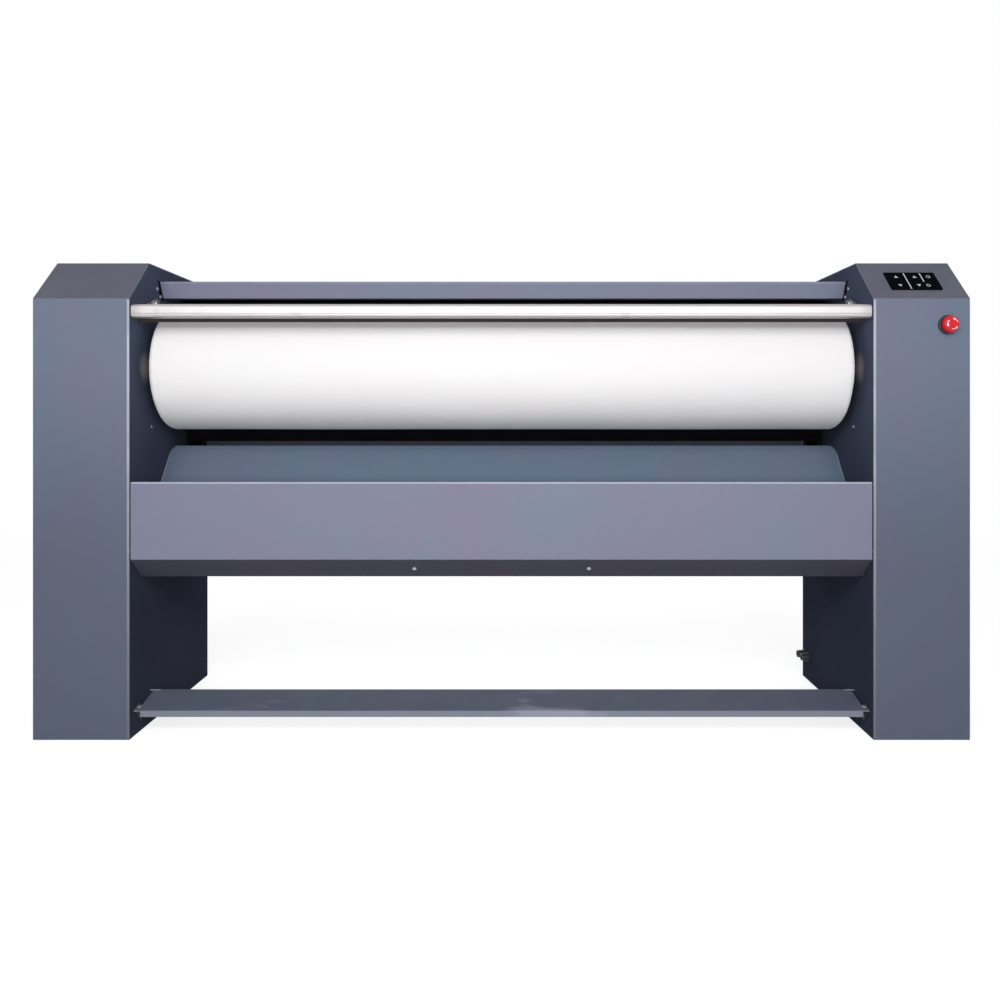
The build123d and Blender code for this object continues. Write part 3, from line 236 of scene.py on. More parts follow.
def strip(path: Array, low_x: float, high_x: float, proud: float, sunk: float) -> Shell:
    """A thin strip that lies on a sheet, along a path in depth and height.

    A point is the path's point plus the height above the sheet times the path's left normal,
    and X runs from the one side to the other.

    Args:
        path: One row of depth and height per point, with the open side on its left.
        low_x: One side of the strip.
        high_x: Its other side.
        proud: Height of its face above the sheet.
        sunk: Depth of its back under the sheet's face.

    Returns:
        The closed shell.
    """
    along = np.gradient(path, axis=0)
    normal = np.stack([-along[:, 1], along[:, 0]], axis=-1)
    normal /= np.linalg.norm(normal, axis=1, keepdims=True)
    x = np.linspace(low_x, high_x, 3)[None, :]
    grids = []
    for height in (proud, -sunk):
        line = path + height * normal
        depth, z = FRONT_Y + line[:, :1], line[:, 1:]
        grids.append(np.stack([x + 0 * z, depth + 0 * x, z + 0 * x], axis=-1))
    return slab(grids[0], grids[1])


def ripples(angle: Array, counts: tuple[int, ...], seed: int) -> Array:
    """A wavy line round a circle, a sum of sines with whole numbers of waves.

    The value is the mean of sin(count * angle + phase) over the counts, with seeded phases.

    Args:
        angle: Angles at which the line is wanted.
        counts: Number of waves round the circle of each sine.
        seed: Seed of the phases.

    Returns:
        Values between -1 and 1, one for each angle.
    """
    phases = np.random.default_rng(seed).uniform(0, TURN, len(counts))
    waves = [np.sin(count * angle + phase) for count, phase in zip(counts, phases)]
    return np.mean(waves, axis=0)


def link(name: str, data: bpy.types.ID) -> bpy.types.Object:
    """An object of a camera, a lamp or a mesh, linked to the scene."""
    made = bpy.data.objects.new(name, data)
    bpy.context.scene.collection.objects.link(made)
    return made


def put_mesh(name: str, shell: Shell, smooth_angle: float) -> bpy.types.Object:
    """A mesh object of a shell, with its doubles merged and its faces pointing outwards.

    Args:
        name: Name of the object and its mesh.
        shell: The surface.
        smooth_angle: Edges sharper than this, in degrees, stay sharp.

    Returns:
        The object, linked to the scene.
    """
    mesh = bpy.data.meshes.new(name)
    mesh.vertices.add(len(shell.points))
    mesh.vertices.foreach_set("co", shell.points.astype(np.float32).ravel())
    mesh.loops.add(shell.faces.size)
    mesh.loops.foreach_set("vertex_index", shell.faces.astype(np.int32).ravel())
    mesh.polygons.add(len(shell.faces))
    mesh.polygons.foreach_set("loop_start", np.arange(len(shell.faces), dtype=np.int32) * 4)
    mesh.update(calc_edges=True)
    work = bmesh.new()
    work.from_mesh(mesh)
    bmesh.ops.remove_doubles(work, verts=work.verts, dist=1e-6)
    bmesh.ops.recalc_face_normals(work, faces=work.faces)
    work.to_mesh(mesh)
    work.free()
    mesh.polygons.foreach_set("use_smooth", np.ones(len(mesh.polygons), dtype=bool))
    mesh.set_sharp_from_angle(angle=math.radians(smooth_angle))
    return link(name, mesh)


# ---------------------------------------------------------------------------------------------
# Shader nodes
# ---------------------------------------------------------------------------------------------


class Wiring:
    """Adds and links the nodes of one material or node group."""

    def __init__(self, tree: bpy.types.NodeTree) -> None:
        """Keeps the tree that the nodes go into."""
        self.tree = tree

    def node(self, kind: str, **settings: object) -> bpy.types.Node:
        """Adds a node.

        Args:
            kind: The node's type.
            settings: Its properties by name.

        Returns:
            The new node.
        """
        made = self.tree.nodes.new(kind)
        for name, setting in settings.items():
            setattr(made, name, setting)
        return made

    def feed(self, socket: Socket, value: Value) -> None:
        """Links a socket to another one, or sets its value.

        Args:
            socket: The input that takes it.
            value: A socket, a number, or the parts of a colour or vector.
        """
        if isinstance(value, bpy.types.NodeSocket):
            self.tree.links.new(value, socket)
        elif socket.type == "RGBA" and len(value) == 3:
            socket.default_value = (*value, 1.0)
        else:
            socket.default_value = value

    def math(self, operation: str, first: Value, second: Value = 0.0) -> Socket:
        """A Math node of two numbers, whose result isn't clamped."""
        made = self.node("ShaderNodeMath", operation=operation)
        self.feed(made.inputs[0], first)
        self.feed(made.inputs[1], second)
        return made.outputs[0]

    def times(self, first: Value, second: Value) -> Socket:
        """The product of two numbers."""
        return self.math("MULTIPLY", first, second)

    def plus(self, first: Value, second: Value) -> Socket:
        """The sum of two numbers."""
        return self.math("ADD", first, second)

    def vector(self, operation: str, first: Value, second: Value) -> Socket:
        """A Vector Math node of two vectors, whose result is a number for a dot product."""
        made = self.node("ShaderNodeVectorMath", operation=operation)
        self.feed(made.inputs[0], first)
        self.feed(made.inputs[1], second)
        return made.outputs["Value" if operation == "DOT_PRODUCT" else "Vector"]

    def length(self, vector: Value) -> Socket:
        """A vector's length."""
        made = self.node("ShaderNodeVectorMath", operation="LENGTH")
        self.feed(made.inputs[0], vector)
        return made.outputs["Value"]

    def parts(self, vector: Value) -> list[Socket]:
        """The X, Y and Z of a vector."""
        made = self.node("ShaderNodeSeparateXYZ")
        self.feed(made.inputs[0], vector)
        return list(made.outputs)

    def normal(self) -> Socket:
        """The normal of the surface, with its smooth shading."""
        return self.node("ShaderNodeNewGeometry").outputs["Normal"]

    def upward(self) -> Socket:
        """How far the surface faces up: 1 for a floor, 0 for a wall, -1 for a ceiling."""
        return self.vector("DOT_PRODUCT", self.normal(), (0.0, 0.0, 1.0))

    def blend(self, share: Value, first: Value, second: Value) -> Socket:
        """A colour that goes from the first to the second as the share goes from 0 to 1."""
        made = self.node("ShaderNodeMix", data_type="RGBA")
        self.feed(made.inputs[0], share)
        self.feed(made.inputs[6], first)
        self.feed(made.inputs[7], second)
        return made.outputs[2]

    def spread(
        self, value: Value, low: float, high: float, to: tuple[float, float] = (0.0, 1.0)
    ) -> Socket:
        """A smooth step from to[0] at low to to[1] at high.

        Args:
            value: What is measured.
            low: Value at which the step starts.
            high: Value at which the step ends.
            to: Results at low and at high.

        Returns:
            The result's socket.
        """
        made = self.node("ShaderNodeMapRange", interpolation_type="SMOOTHSTEP")
        for name, number in zip(("From Min", "From Max", "To Min", "To Max"), (low, high, *to)):
            made.inputs[name].default_value = number
        self.feed(made.inputs["Value"], value)
        return made.outputs["Result"]

    def noise(self, vector: Value, scale: Value, detail: float, twist: float = 0.0) -> Socket:
        """A Noise Texture's value.

        Args:
            vector: Place on the surface.
            scale: Waves per metre.
            detail: Number of finer layers.
            twist: Distortion of the pattern.

        Returns:
            The value's socket, from 0 to 1.
        """
        made = self.node("ShaderNodeTexNoise")
        self.feed(made.inputs["Vector"], vector)
        self.feed(made.inputs["Scale"], scale)
        made.inputs["Detail"].default_value = detail
        made.inputs["Distortion"].default_value = twist
        return made.outputs[0]

    def bump(self, height: Socket, distance: float, strength: float, under: Value) -> Socket:
        """A Bump node's normal.

        Args:
            height: Height of the surface from 0 to 1.
            distance: Height of 1 in metres.
            strength: Share of the effect.
            under: The normal that it starts from.

        Returns:
            The normal's socket.
        """
        made = self.node("ShaderNodeBump")
        made.inputs["Distance"].default_value = distance
        made.inputs["Strength"].default_value = strength
        self.feed(made.inputs["Height"], height)
        if isinstance(under, bpy.types.NodeSocket):
            self.feed(made.inputs["Normal"], under)
        return made.outputs["Normal"]

    def place(self) -> Socket:
        """The object's own coordinates."""
        return self.node("ShaderNodeTexCoord").outputs["Object"]

    def mapped(
        self, vector: Value, scale: tuple[float, ...], shift: tuple[float, ...] = (0.0, 0.0, 0.0)
    ) -> Socket:
        """The vector times scale, plus shift."""
        made = self.node("ShaderNodeMapping")
        made.inputs["Location"].default_value = shift
        made.inputs["Scale"].default_value = scale
        self.feed(made.inputs["Vector"], vector)
        return made.outputs["Vector"]

    def from_roll(self, place: Socket) -> Socket:
        """Places measured from the middle of the roll."""
        return self.mapped(place, (1.0, 1.0, 1.0), (0.0, -ROLL_Y, -ROLL_Z))


Sockets = dict[str, Socket]


@dataclass(frozen=True)
class Effect:
    """A shader node group: it takes a vector and named numbers, and has named outputs."""

    name: str
    numbers: tuple[str, ...]
    outputs: tuple[str, ...]
    wire: Callable[[Wiring, Sockets], Sockets]

    def group(self) -> bpy.types.NodeTree:
        """The node group, made the first time it is asked for."""
        found = bpy.data.node_groups.get(self.name)
        if found is not None:
            return found
        tree = bpy.data.node_groups.new(self.name, "ShaderNodeTree")
        for side, names in (("INPUT", ("Vector", *self.numbers)), ("OUTPUT", self.outputs)):
            for name in names:
                kind = "NodeSocketVector" if name in ("Vector", "Normal") else "NodeSocketFloat"
                tree.interface.new_socket(name, in_out=side, socket_type=kind)
        entry = tree.nodes.new("NodeGroupInput")
        leaving = tree.nodes.new("NodeGroupOutput")
        results = self.wire(Wiring(tree), {s.name: s for s in entry.outputs if s.name})
        for name, socket in results.items():
            tree.links.new(socket, leaving.inputs[name])
        return tree

    def use(self, wiring: Wiring, vector: Value, **numbers: Value) -> Sockets:
        """Places the group in a material.

        Args:
            wiring: The material's wiring.
            vector: Place on the surface.
            numbers: What each of its numbers is given.

        Returns:
            The group's outputs by name.
        """
        made = wiring.node("ShaderNodeGroup", node_tree=self.group())
        for name, value in {"Vector": vector, **numbers}.items():
            wiring.feed(made.inputs[name], value)
        return {socket.name: socket for socket in made.outputs}


def wire_clouds(wiring: Wiring, given: Sockets) -> Sockets:
    """Soft large patches: a noise of three layers, stretched to go from 0 to 1."""
    value = wiring.noise(given["Vector"], given["Scale"], 3.0)
    return {"Value": wiring.spread(value, 0.32, 0.68)}


def wire_peel(wiring: Wiring, given: Sockets) -> Sockets:
    """The small waves of sprayed or moulded skin: a fine noise over a coarser one."""
    fine = wiring.noise(given["Vector"], given["Scale"], 1.0)
    coarse = wiring.noise(given["Vector"], wiring.times(given["Scale"], 0.35), 0.0)
    return {"Height": wiring.plus(wiring.times(fine, 0.6), coarse)}


def wire_edges(wiring: Wiring, given: Sockets) -> Sockets:
    """Rounded edges: the rounded normal, and a mask where it leaves the flat one, in patches."""
    rounded = wiring.node("ShaderNodeBevel", samples=4)
    wiring.feed(rounded.inputs["Radius"], given["Radius"])
    facing = wiring.vector("DOT_PRODUCT", rounded.outputs[0], wiring.normal())
    bent = wiring.spread(facing, 0.995, 0.93)
    patches = wiring.noise(given["Vector"], given["Scale"], 3.0)
    patches = wiring.spread(patches, 0.35, 0.6, (0.45, 1.0))
    return {"Mask": wiring.times(bent, patches), "Normal": rounded.outputs[0]}


def wire_dust(wiring: Wiring, given: Sockets) -> Sockets:
    """Dust that lies on what faces up: the upward share of the normal times a patchy noise."""
    upward = wiring.spread(wiring.upward(), 0.3, 1.0)
    patches = wiring.noise(given["Vector"], 14.0, 6.0)
    patches = wiring.spread(patches, 0.35, 0.7, (0.25, 1.0))
    lying = wiring.times(upward, patches)
    return {"Mask": wiring.times(lying, given["Amount"])}


def wire_scuffs(wiring: Wiring, given: Sockets) -> Sockets:
    """Short rub marks: a stretched noise cut at a threshold, inside larger worn patches."""
    marks = wiring.noise(given["Vector"], given["Scale"], 4.0, 0.4)
    marks = wiring.spread(marks, 0.58, 0.7)
    patches = wiring.noise(given["Vector"], wiring.times(given["Scale"], 0.15), 2.0)
    patches = wiring.spread(patches, 0.45, 0.7)
    return {"Mask": wiring.times(marks, patches)}


def wire_lines(wiring: Wiring, given: Sockets) -> Sockets:
    """Brushed or turned lines: two stretched noises, one four times as fine as the other."""
    coarse = wiring.noise(given["Vector"], given["Scale"], 2.0)
    fine = wiring.noise(given["Vector"], wiring.times(given["Scale"], 4.0), 2.0)
    total = wiring.plus(wiring.times(coarse, 0.5), fine)
    return {"Value": wiring.spread(total, 0.45, 1.05), "Height": total}


def wire_around(wiring: Wiring, given: Sockets) -> Sockets:
    """Coordinates wrapped round the X axis: place along it, arc length, and radius."""
    along, side, rise = wiring.parts(given["Vector"])
    angle = wiring.math("ARCTAN2", rise, side)
    square = wiring.plus(wiring.math("POWER", side, 2.0), wiring.math("POWER", rise, 2.0))
    made = wiring.node("ShaderNodeCombineXYZ")
    wiring.feed(made.inputs[0], along)
    wiring.feed(made.inputs[1], wiring.times(angle, given["Radius"]))
    wiring.feed(made.inputs[2], wiring.math("SQRT", square))
    return {"Vector": made.outputs[0]}


def wire_weave(wiring: Wiring, given: Sockets) -> Sockets:
    """Plain weave: the product of one sine along and one across, its root as the height."""
    along, across, _ = wiring.parts(given["Vector"])
    turns = wiring.math("DIVIDE", math.pi, given["Pitch"])
    waves = [wiring.math("SINE", wiring.times(part, turns)) for part in (along, across)]
    product = wiring.times(*waves)
    height = wiring.math("SQRT", wiring.math("ABSOLUTE", product))
    return {"Height": height, "Value": wiring.spread(product, -0.2, 0.2)}


def wire_fibres(wiring: Wiring, given: Sockets) -> Sockets:
    """Matted fibres: a twisted fine noise over soft tufts."""
    fine = wiring.noise(given["Vector"], given["Scale"], 5.0, 2.2)
    tufts = wiring.noise(given["Vector"], wiring.times(given["Scale"], 0.12), 2.0)
    total = wiring.plus(wiring.times(fine, 0.7), tufts)
    return {"Height": total, "Value": wiring.spread(total, 0.6, 1.1)}


CLOUDS = Effect("soft_clouds", ("Scale",), ("Value",), wire_clouds)
PEEL = Effect("skin_peel", ("Scale",), ("Height",), wire_peel)
# The edge mask serves both real edge wear and painted highlights on edges.
EDGES = Effect("edge_wear_and_highlight", ("Radius", "Scale"), ("Mask", "Normal"), wire_edges)
DUST = Effect("lying_dust", ("Amount",), ("Mask",), wire_dust)
SCUFFS = Effect("rub_marks", ("Scale",), ("Mask",), wire_scuffs)
LINES = Effect("metal_lines", ("Scale",), ("Value", "Height"), wire_lines)
AROUND = Effect("wrapped_place", ("Radius",), ("Vector",), wire_around)
WEAVE = Effect("plain_weave", ("Pitch",), ("Height", "Value"), wire_weave)
FIBRES = Effect("matted_fibres", ("Scale",), ("Height", "Value"), wire_fibres)


# ---------------------------------------------------------------------------------------------
# Finishes
# ---------------------------------------------------------------------------------------------


def shade(colour: Colour, share: float) -> Colour:
    """The colour times a share, so that 1 leaves it as it is."""
    return (colour[0] * share, colour[1] * share, colour[2] * share)


@dataclass(frozen=True)
class Finish(ABC):
    """A surface's material: its name, its colour, and how rough it is."""

    name: str
    colour: Colour
    roughness: float

    @abstractmethod
    def wire(self, wiring: Wiring) -> dict[str, Value]:
        """The shader's inputs by name, each a socket of the material's nodes or a constant."""

    def tones(self, wiring: Wiring, share: Value, low: float, high: float) -> Socket:
        """The colour times low where the share is 0, and times high where it is 1."""
        return wiring.blend(share, shade(self.colour, low), shade(self.colour, high))

    def grades(self, wiring: Wiring, share: Value, less: float, more: float) -> Socket:
        """The roughness minus less where the share is 0, and plus more where it is 1."""
        return wiring.spread(share, 0.0, 1.0, (self.roughness - less, self.roughness + more))

    def material(self) -> bpy.types.Material:
        """The material, made the first time it is asked for."""
        name = f"{self.name}_finish"
        found = bpy.data.materials.get(name)
        if found is not None:
            return found
        made = bpy.data.materials.new(name)
        made.use_nodes = True
        made.diffuse_color = (*self.colour, 1.0)
        shader = next(n for n in made.node_tree.nodes if n.type == "BSDF_PRINCIPLED")
        wiring = Wiring(made.node_tree)
        for socket, value in self.wire(wiring).items():
            wiring.feed(shader.inputs[socket], value)
        return made


@dataclass(frozen=True)
class PowderCoat(Finish):
    """Satin powder coat on folded sheet, with its fine peel, dust, rub marks, edges lighter from
    wear and a painted highlight, painted shade and a painted reflection.
    """

    # Edges lighter in colour: partly wear and partly a painted highlight.
    edge_radius: float = 0.0022
    edge_light: float = 0.45
    edge_share: float = 2.1
    dust: float = 0.12
    dust_colour: Colour = (0.30, 0.30, 0.31)
    scuffs: float = 0.0
    scuff_share: float = 1.9
    specular: float = 0.12
    warm: Colour = (1.06, 0.96, 1.0)
    cool: Colour = (0.94, 1.04, 1.0)
    # Painted shade: top and under give faces turned up or down a darker colour, and the foot
    # share darkens the colour towards the foot.
    top: Colour | None = None
    top_shade_rise: tuple[float, float] = (0.2, 0.6)
    under: Colour | None = None
    under_shade_rise: tuple[float, float] = (-0.5, -0.68)
    foot_shade_share: float = 1.0
    foot_shade_heights: tuple[float, float] = (0.95, 0.35)
    # Painted reflection of the roll: a pale patch on the inner walls, level with its axis.
    roll_reflection: float = 0.0
    roll_reflection_colour: Colour = (0.42, 0.38, 0.35)
    roll_reflection_depth: float = 0.078
    roll_reflection_half: tuple[float, float] = (0.036, 0.046)

    def wire(self, wiring: Wiring) -> dict[str, Value]:
        """Tints, dust and rub marks in the colour, peel in the normal, with painted shade, a
        painted reflection of the roll, and edges lighter from wear and a painted highlight.
        """
        place = wiring.place()
        clouds = CLOUDS.use(wiring, place, Scale=2.4)["Value"]
        edges = EDGES.use(wiring, place, Radius=self.edge_radius, Scale=30.0)
        dust = DUST.use(wiring, place, Amount=self.dust)["Mask"]
        colour = wiring.vector("MULTIPLY", self.facing(wiring), self.tint(wiring, place, clouds))
        # Painted shade: darker towards the foot.
        if self.foot_shade_share < 1.0:
            low = wiring.spread(wiring.parts(place)[2], *self.foot_shade_heights)
            darker = wiring.blend(low, (1.0, 1.0, 1.0), (self.foot_shade_share,) * 3)
            colour = wiring.vector("MULTIPLY", colour, darker)
        # Painted reflection of the roll on the inner walls.
        if self.roll_reflection:
            colour = wiring.blend(self.roll_reflection_patch(wiring, place), colour, self.roll_reflection_colour)
        # Lighter edges: partly wear, partly a painted highlight.
        lit = wiring.times(edges["Mask"], self.edge_light)
        colour = wiring.blend(lit, colour, shade(self.colour, self.edge_share))
        colour = wiring.blend(dust, colour, self.dust_colour)
        rough = self.grades(wiring, clouds, 0.04, 0.04)
        rough = wiring.plus(rough, wiring.times(dust, 0.3))
        if self.scuffs:
            stretched = wiring.mapped(place, (0.5, 2.0, 2.0))
            marks = SCUFFS.use(wiring, stretched, Scale=9.0)["Mask"]
            marks = wiring.times(marks, self.scuffs)
            colour = wiring.blend(marks, colour, shade(self.colour, self.scuff_share))
            rough = wiring.plus(rough, wiring.times(marks, 0.2))
        peel = PEEL.use(wiring, place, Scale=420.0)["Height"]
        return {
            "Base Color": colour,
            "Roughness": rough,
            "Normal": wiring.bump(peel, 0.0002, 0.35, edges["Normal"]),
            "Specular IOR Level": self.specular,
        }

    def facing(self, wiring: Wiring) -> Value:
        """The colour, with painted shade: a darker colour on faces turned up or down."""
        colour: Value = self.colour
        rise = wiring.upward()
        if self.top:
            colour = wiring.blend(wiring.spread(rise, *self.top_shade_rise), colour, self.top)
        if self.under:
            colour = wiring.blend(wiring.spread(rise, *self.under_shade_rise), colour, self.under)
        return colour

    def tint(self, wiring: Wiring, place: Socket, clouds: Socket) -> Socket:
        """A factor that drifts from warm to cool over the sheet, weaker where clouds is 1."""
        elsewhere = wiring.mapped(place, (1.0, 1.0, 0.7), (5.0, 2.0, 1.0))
        drift = CLOUDS.use(wiring, elsewhere, Scale=5.0)["Value"]
        tint = wiring.blend(drift, self.warm, self.cool)
        return wiring.blend(wiring.spread(clouds, 0.0, 1.0, (0.0, 0.5)), tint, (1.0, 1.0, 1.0))

    def roll_reflection_patch(self, wiring: Wiring, place: Socket) -> Socket:
        """A painted reflection of the roll: a soft patch on the inner walls, level with the
        roll's axis and in front of it.

        The share falls smoothly from the middle to nothing at an ellipse's rim. The place is
        divided by the ellipse's half sizes, so that the rim is at the length 1.
        """
        deep, high = self.roll_reflection_half
        middle = (0.0, -(FRONT_Y + self.roll_reflection_depth) / deep, -ROLL_Z / high)
        away = wiring.length(wiring.mapped(place, (0.0, 1 / deep, 1 / high), middle))
        return wiring.spread(away, 1.0, 0.1, (0.0, self.roll_reflection))


@dataclass(frozen=True)
class PaintedHighlight(Finish):
    """A painted highlight along a fold, lighter towards the top of its run as the light falls."""

    low_z: float = 0.0
    high_z: float = 1.0
    low_share: float = 1.0

    def wire(self, wiring: Wiring) -> dict[str, Value]:
        """The colour times a share that rises with height, with small patches over it."""
        place = wiring.place()
        # Painted highlight, dimmer towards the bottom of its run.
        rise = wiring.spread(wiring.parts(place)[2], self.low_z, self.high_z)
        colour = self.tones(wiring, rise, self.low_share, 1.0)
        patches = CLOUDS.use(wiring, place, Scale=9.0)["Value"]
        patches = wiring.spread(patches, 0.0, 1.0, (0.0, 0.25))
        colour = wiring.blend(patches, colour, shade(self.colour, self.low_share * 0.8))
        peel = PEEL.use(wiring, place, Scale=420.0)["Height"]
        return {
            "Base Color": colour,
            "Roughness": wiring.spread(patches, 0.0, 0.25, (0.4, 0.5)),
            "Normal": wiring.bump(peel, 0.0002, 0.35, 0.0),
            "Specular IOR Level": 0.2,
        }


class Lines(Enum):
    """Which way a metal's fine lines run: waves per metre along each axis, and wrapping."""

    ALONG_X = ((4.0, 700.0, 700.0), False)
    ALONG_Y = ((500.0, 5.0, 500.0), False)
    TURNED = ((900.0, 12.0, 900.0), True)
    PLATED = ((70.0, 70.0, 70.0), False)


@dataclass(frozen=True)
class Metal(Finish):
    """Bare, brushed, turned or plated metal with its lines, smudges and lighter edges."""

    lines: Lines = Lines.PLATED
    contrast: float = 0.08
    depth: float = 0.00003
    smudges: float = 0.15
    edge_radius: float = 0.0008
    oil: Colour = (0.20, 0.17, 0.15)

    def wire(self, wiring: Wiring) -> dict[str, Value]:
        """Lines in the colour, roughness and normal, and smudges where hands or oil were."""
        place = wiring.place()
        scale, wraps = self.lines.value
        lines_at = place
        if wraps:
            lines_at = AROUND.use(wiring, wiring.from_roll(place), Radius=0.1)["Vector"]
        lines = LINES.use(wiring, wiring.mapped(lines_at, scale), Scale=1.0)
        smudges = SCUFFS.use(wiring, place, Scale=22.0)["Mask"]
        smudges = wiring.times(smudges, self.smudges)
        edges = EDGES.use(wiring, place, Radius=self.edge_radius, Scale=60.0)
        colour = self.tones(wiring, lines["Value"], 1.0 - self.contrast, 1.0 + self.contrast)
        rough = self.grades(wiring, lines["Value"], 0.0, 0.08)
        return {
            "Base Color": wiring.blend(smudges, colour, self.oil),
            "Roughness": wiring.plus(rough, wiring.times(smudges, 0.5)),
            "Normal": wiring.bump(lines["Height"], self.depth, 0.5, edges["Normal"]),
            "Metallic": 1.0,
        }


@dataclass(frozen=True)
class Casting(Finish):
    """Cast iron or aluminium, bare or painted: a grainy skin with worn edges."""

    metallic: float = 0.0
    grain: float = 0.0004
    worn: Colour = (0.35, 0.35, 0.36)
    dust: float = 0.25
    dust_colour: Colour = (0.30, 0.29, 0.28)
    specular: float = 0.5

    def wire(self, wiring: Wiring) -> dict[str, Value]:
        """Clouds and worn edges in the colour, sand grain in the normal."""
        place = wiring.place()
        clouds = CLOUDS.use(wiring, place, Scale=9.0)["Value"]
        edges = EDGES.use(wiring, place, Radius=0.0016, Scale=80.0)
        dust = DUST.use(wiring, place, Amount=self.dust)["Mask"]
        colour = self.tones(wiring, clouds, 0.85, 1.12)
        colour = wiring.blend(wiring.times(edges["Mask"], 0.4), colour, self.worn)
        grain = PEEL.use(wiring, place, Scale=520.0)["Height"]
        return {
            "Base Color": wiring.blend(dust, colour, self.dust_colour),
            "Roughness": self.grades(wiring, clouds, 0.06, 0.06),
            "Normal": wiring.bump(grain, self.grain, 0.6, edges["Normal"]),
            "Metallic": self.metallic,
            "Specular IOR Level": self.specular,
        }


@dataclass(frozen=True)
class Moulding(Finish):
    """Moulded plastic with a fine skin, softened edges and, on gloss parts, a clear coat."""

    coat: float = 0.0
    grain: float = 0.00012
    edge_radius: float = 0.0006
    specular: float = 0.5

    def wire(self, wiring: Wiring) -> dict[str, Value]:
        """Slight clouds and a painted highlight on the edges in the colour, the mould's skin in
        the normal.
        """
        place = wiring.place()
        clouds = CLOUDS.use(wiring, place, Scale=40.0)["Value"]
        edges = EDGES.use(wiring, place, Radius=self.edge_radius, Scale=120.0)
        colour = self.tones(wiring, clouds, 0.92, 1.06)
        # Painted highlight: the edges lighter in colour.
        lit = wiring.times(edges["Mask"], 0.25)
        skin = PEEL.use(wiring, place, Scale=900.0)["Height"]
        return {
            "Base Color": wiring.blend(lit, colour, shade(self.colour, 1.8)),
            "Roughness": self.grades(wiring, clouds, 0.0, 0.06),
            "Normal": wiring.bump(skin, self.grain, 0.4, edges["Normal"]),
            "Coat Weight": self.coat,
            "Coat Roughness": 0.08,
            "Specular IOR Level": self.specular,
        }


@dataclass(frozen=True)
class CircuitBoard(Finish):
    """Green solder mask over copper tracks."""

    track_pitch: float = 0.004

    def wire(self, wiring: Wiring) -> dict[str, Value]:
        """Bricks for the tracks, lighter than the mask between them and a little proud."""
        tracks = wiring.node("ShaderNodeTexBrick")
        tracks.inputs["Scale"].default_value = 1.0
        tracks.inputs["Mortar Size"].default_value = self.track_pitch / 8
        tracks.inputs["Brick Width"].default_value = self.track_pitch * 4
        tracks.inputs["Row Height"].default_value = self.track_pitch
        wiring.feed(tracks.inputs["Vector"], wiring.place())
        mask = tracks.outputs["Fac"]
        return {
            "Base Color": self.tones(wiring, mask, 1.0, 2.0),
            "Roughness": self.grades(wiring, mask, 0.0, -0.1),
            "Normal": wiring.bump(mask, 0.00005, 0.6, 0.0),
        }


@dataclass(frozen=True)
class Cotton(Finish):
    """Woven cotton wrapped round the roll, with its weave and faint ironing marks."""

    pitch: float = 0.0011
    radius: float = 0.148

    def wire(self, wiring: Wiring) -> dict[str, Value]:
        """Weave in the normal and faintly in the colour, long soft marks round the roll."""
        centred = wiring.from_roll(wiring.place())
        wrapped = AROUND.use(wiring, centred, Radius=self.radius)["Vector"]
        weave = WEAVE.use(wiring, wrapped, Pitch=self.pitch)
        marks = CLOUDS.use(wiring, wiring.mapped(centred, (1.0, 5.0, 5.0)), Scale=3.5)["Value"]
        fibres = FIBRES.use(wiring, centred, Scale=700.0)
        threads = self.tones(wiring, weave["Value"], 0.975, 1.0)
        worn = (self.colour[0] * 0.97, self.colour[1] * 0.955, self.colour[2] * 0.945)
        height = wiring.plus(weave["Height"], wiring.times(fibres["Height"], 0.5))
        return {
            "Base Color": wiring.blend(wiring.times(marks, 0.6), threads, worn),
            "Roughness": self.grades(wiring, fibres["Value"], 0.05, 0.0),
            "Normal": wiring.bump(height, 0.00022, 0.5, 0.0),
            "Specular IOR Level": 0.2,
            "Sheen Weight": 0.35,
        }


@dataclass(frozen=True)
class Fibre(Finish):
    """Needled felt or mineral wool: matted fibres in the colour and the normal."""

    scale: float = 380.0
    height: float = 0.0012

    def wire(self, wiring: Wiring) -> dict[str, Value]:
        """Fibres and large clouds in the colour, fibres in the normal."""
        place = wiring.place()
        fibres = FIBRES.use(wiring, place, Scale=self.scale)
        clouds = CLOUDS.use(wiring, place, Scale=7.0)["Value"]
        colour = self.tones(wiring, fibres["Value"], 0.7, 1.12)
        return {
            "Base Color": wiring.blend(wiring.times(clouds, 0.25), colour, self.colour),
            "Roughness": self.grades(wiring, fibres["Value"], 0.05, 0.0),
            "Normal": wiring.bump(fibres["Height"], self.height, 0.7, 0.0),
            "Specular IOR Level": 0.15,
        }


SLATE: Colour = (0.172, 0.200, 0.283)
# Painted shade: darker facets that face up, and darker towards the foot.
COLUMN_PAINT = PowderCoat(
    "column_paint", SLATE, 0.5, top=(0.125, 0.132, 0.175), foot_shade_share=0.72
)
# Painted shade towards the foot, and a painted reflection of the roll on the walls.
WALL_PAINT = PowderCoat(
    "wall_paint",
    (0.085, 0.100, 0.155),
    0.5,
    edge_light=0.1,
    dust=0.05,
    specular=0.0,
    roll_reflection=0.9,
    foot_shade_share=0.62,
)
# Painted shade: a darker colour on the faces turned up most, and a dark one on those turned down,
# such as the fascia's flange.
PANEL_PAINT = PowderCoat(
    "panel_paint",
    (0.235, 0.245, 0.340),
    0.48,
    edge_light=0.7,
    specular=0.06,
    top=(0.14, 0.185, 0.265),
    top_shade_rise=(0.5, 0.56),
    under=(0.075, 0.075, 0.105),
)
# Painted shade: the plate's top darker than its front lip.
TREADLE_PAINT = PowderCoat(
    "treadle_paint",
    (0.26, 0.275, 0.34),
    0.48,
    edge_light=0.7,
    dust=0.1,
    scuffs=0.4,
    specular=0.06,
    top=(0.115, 0.13, 0.185),
)
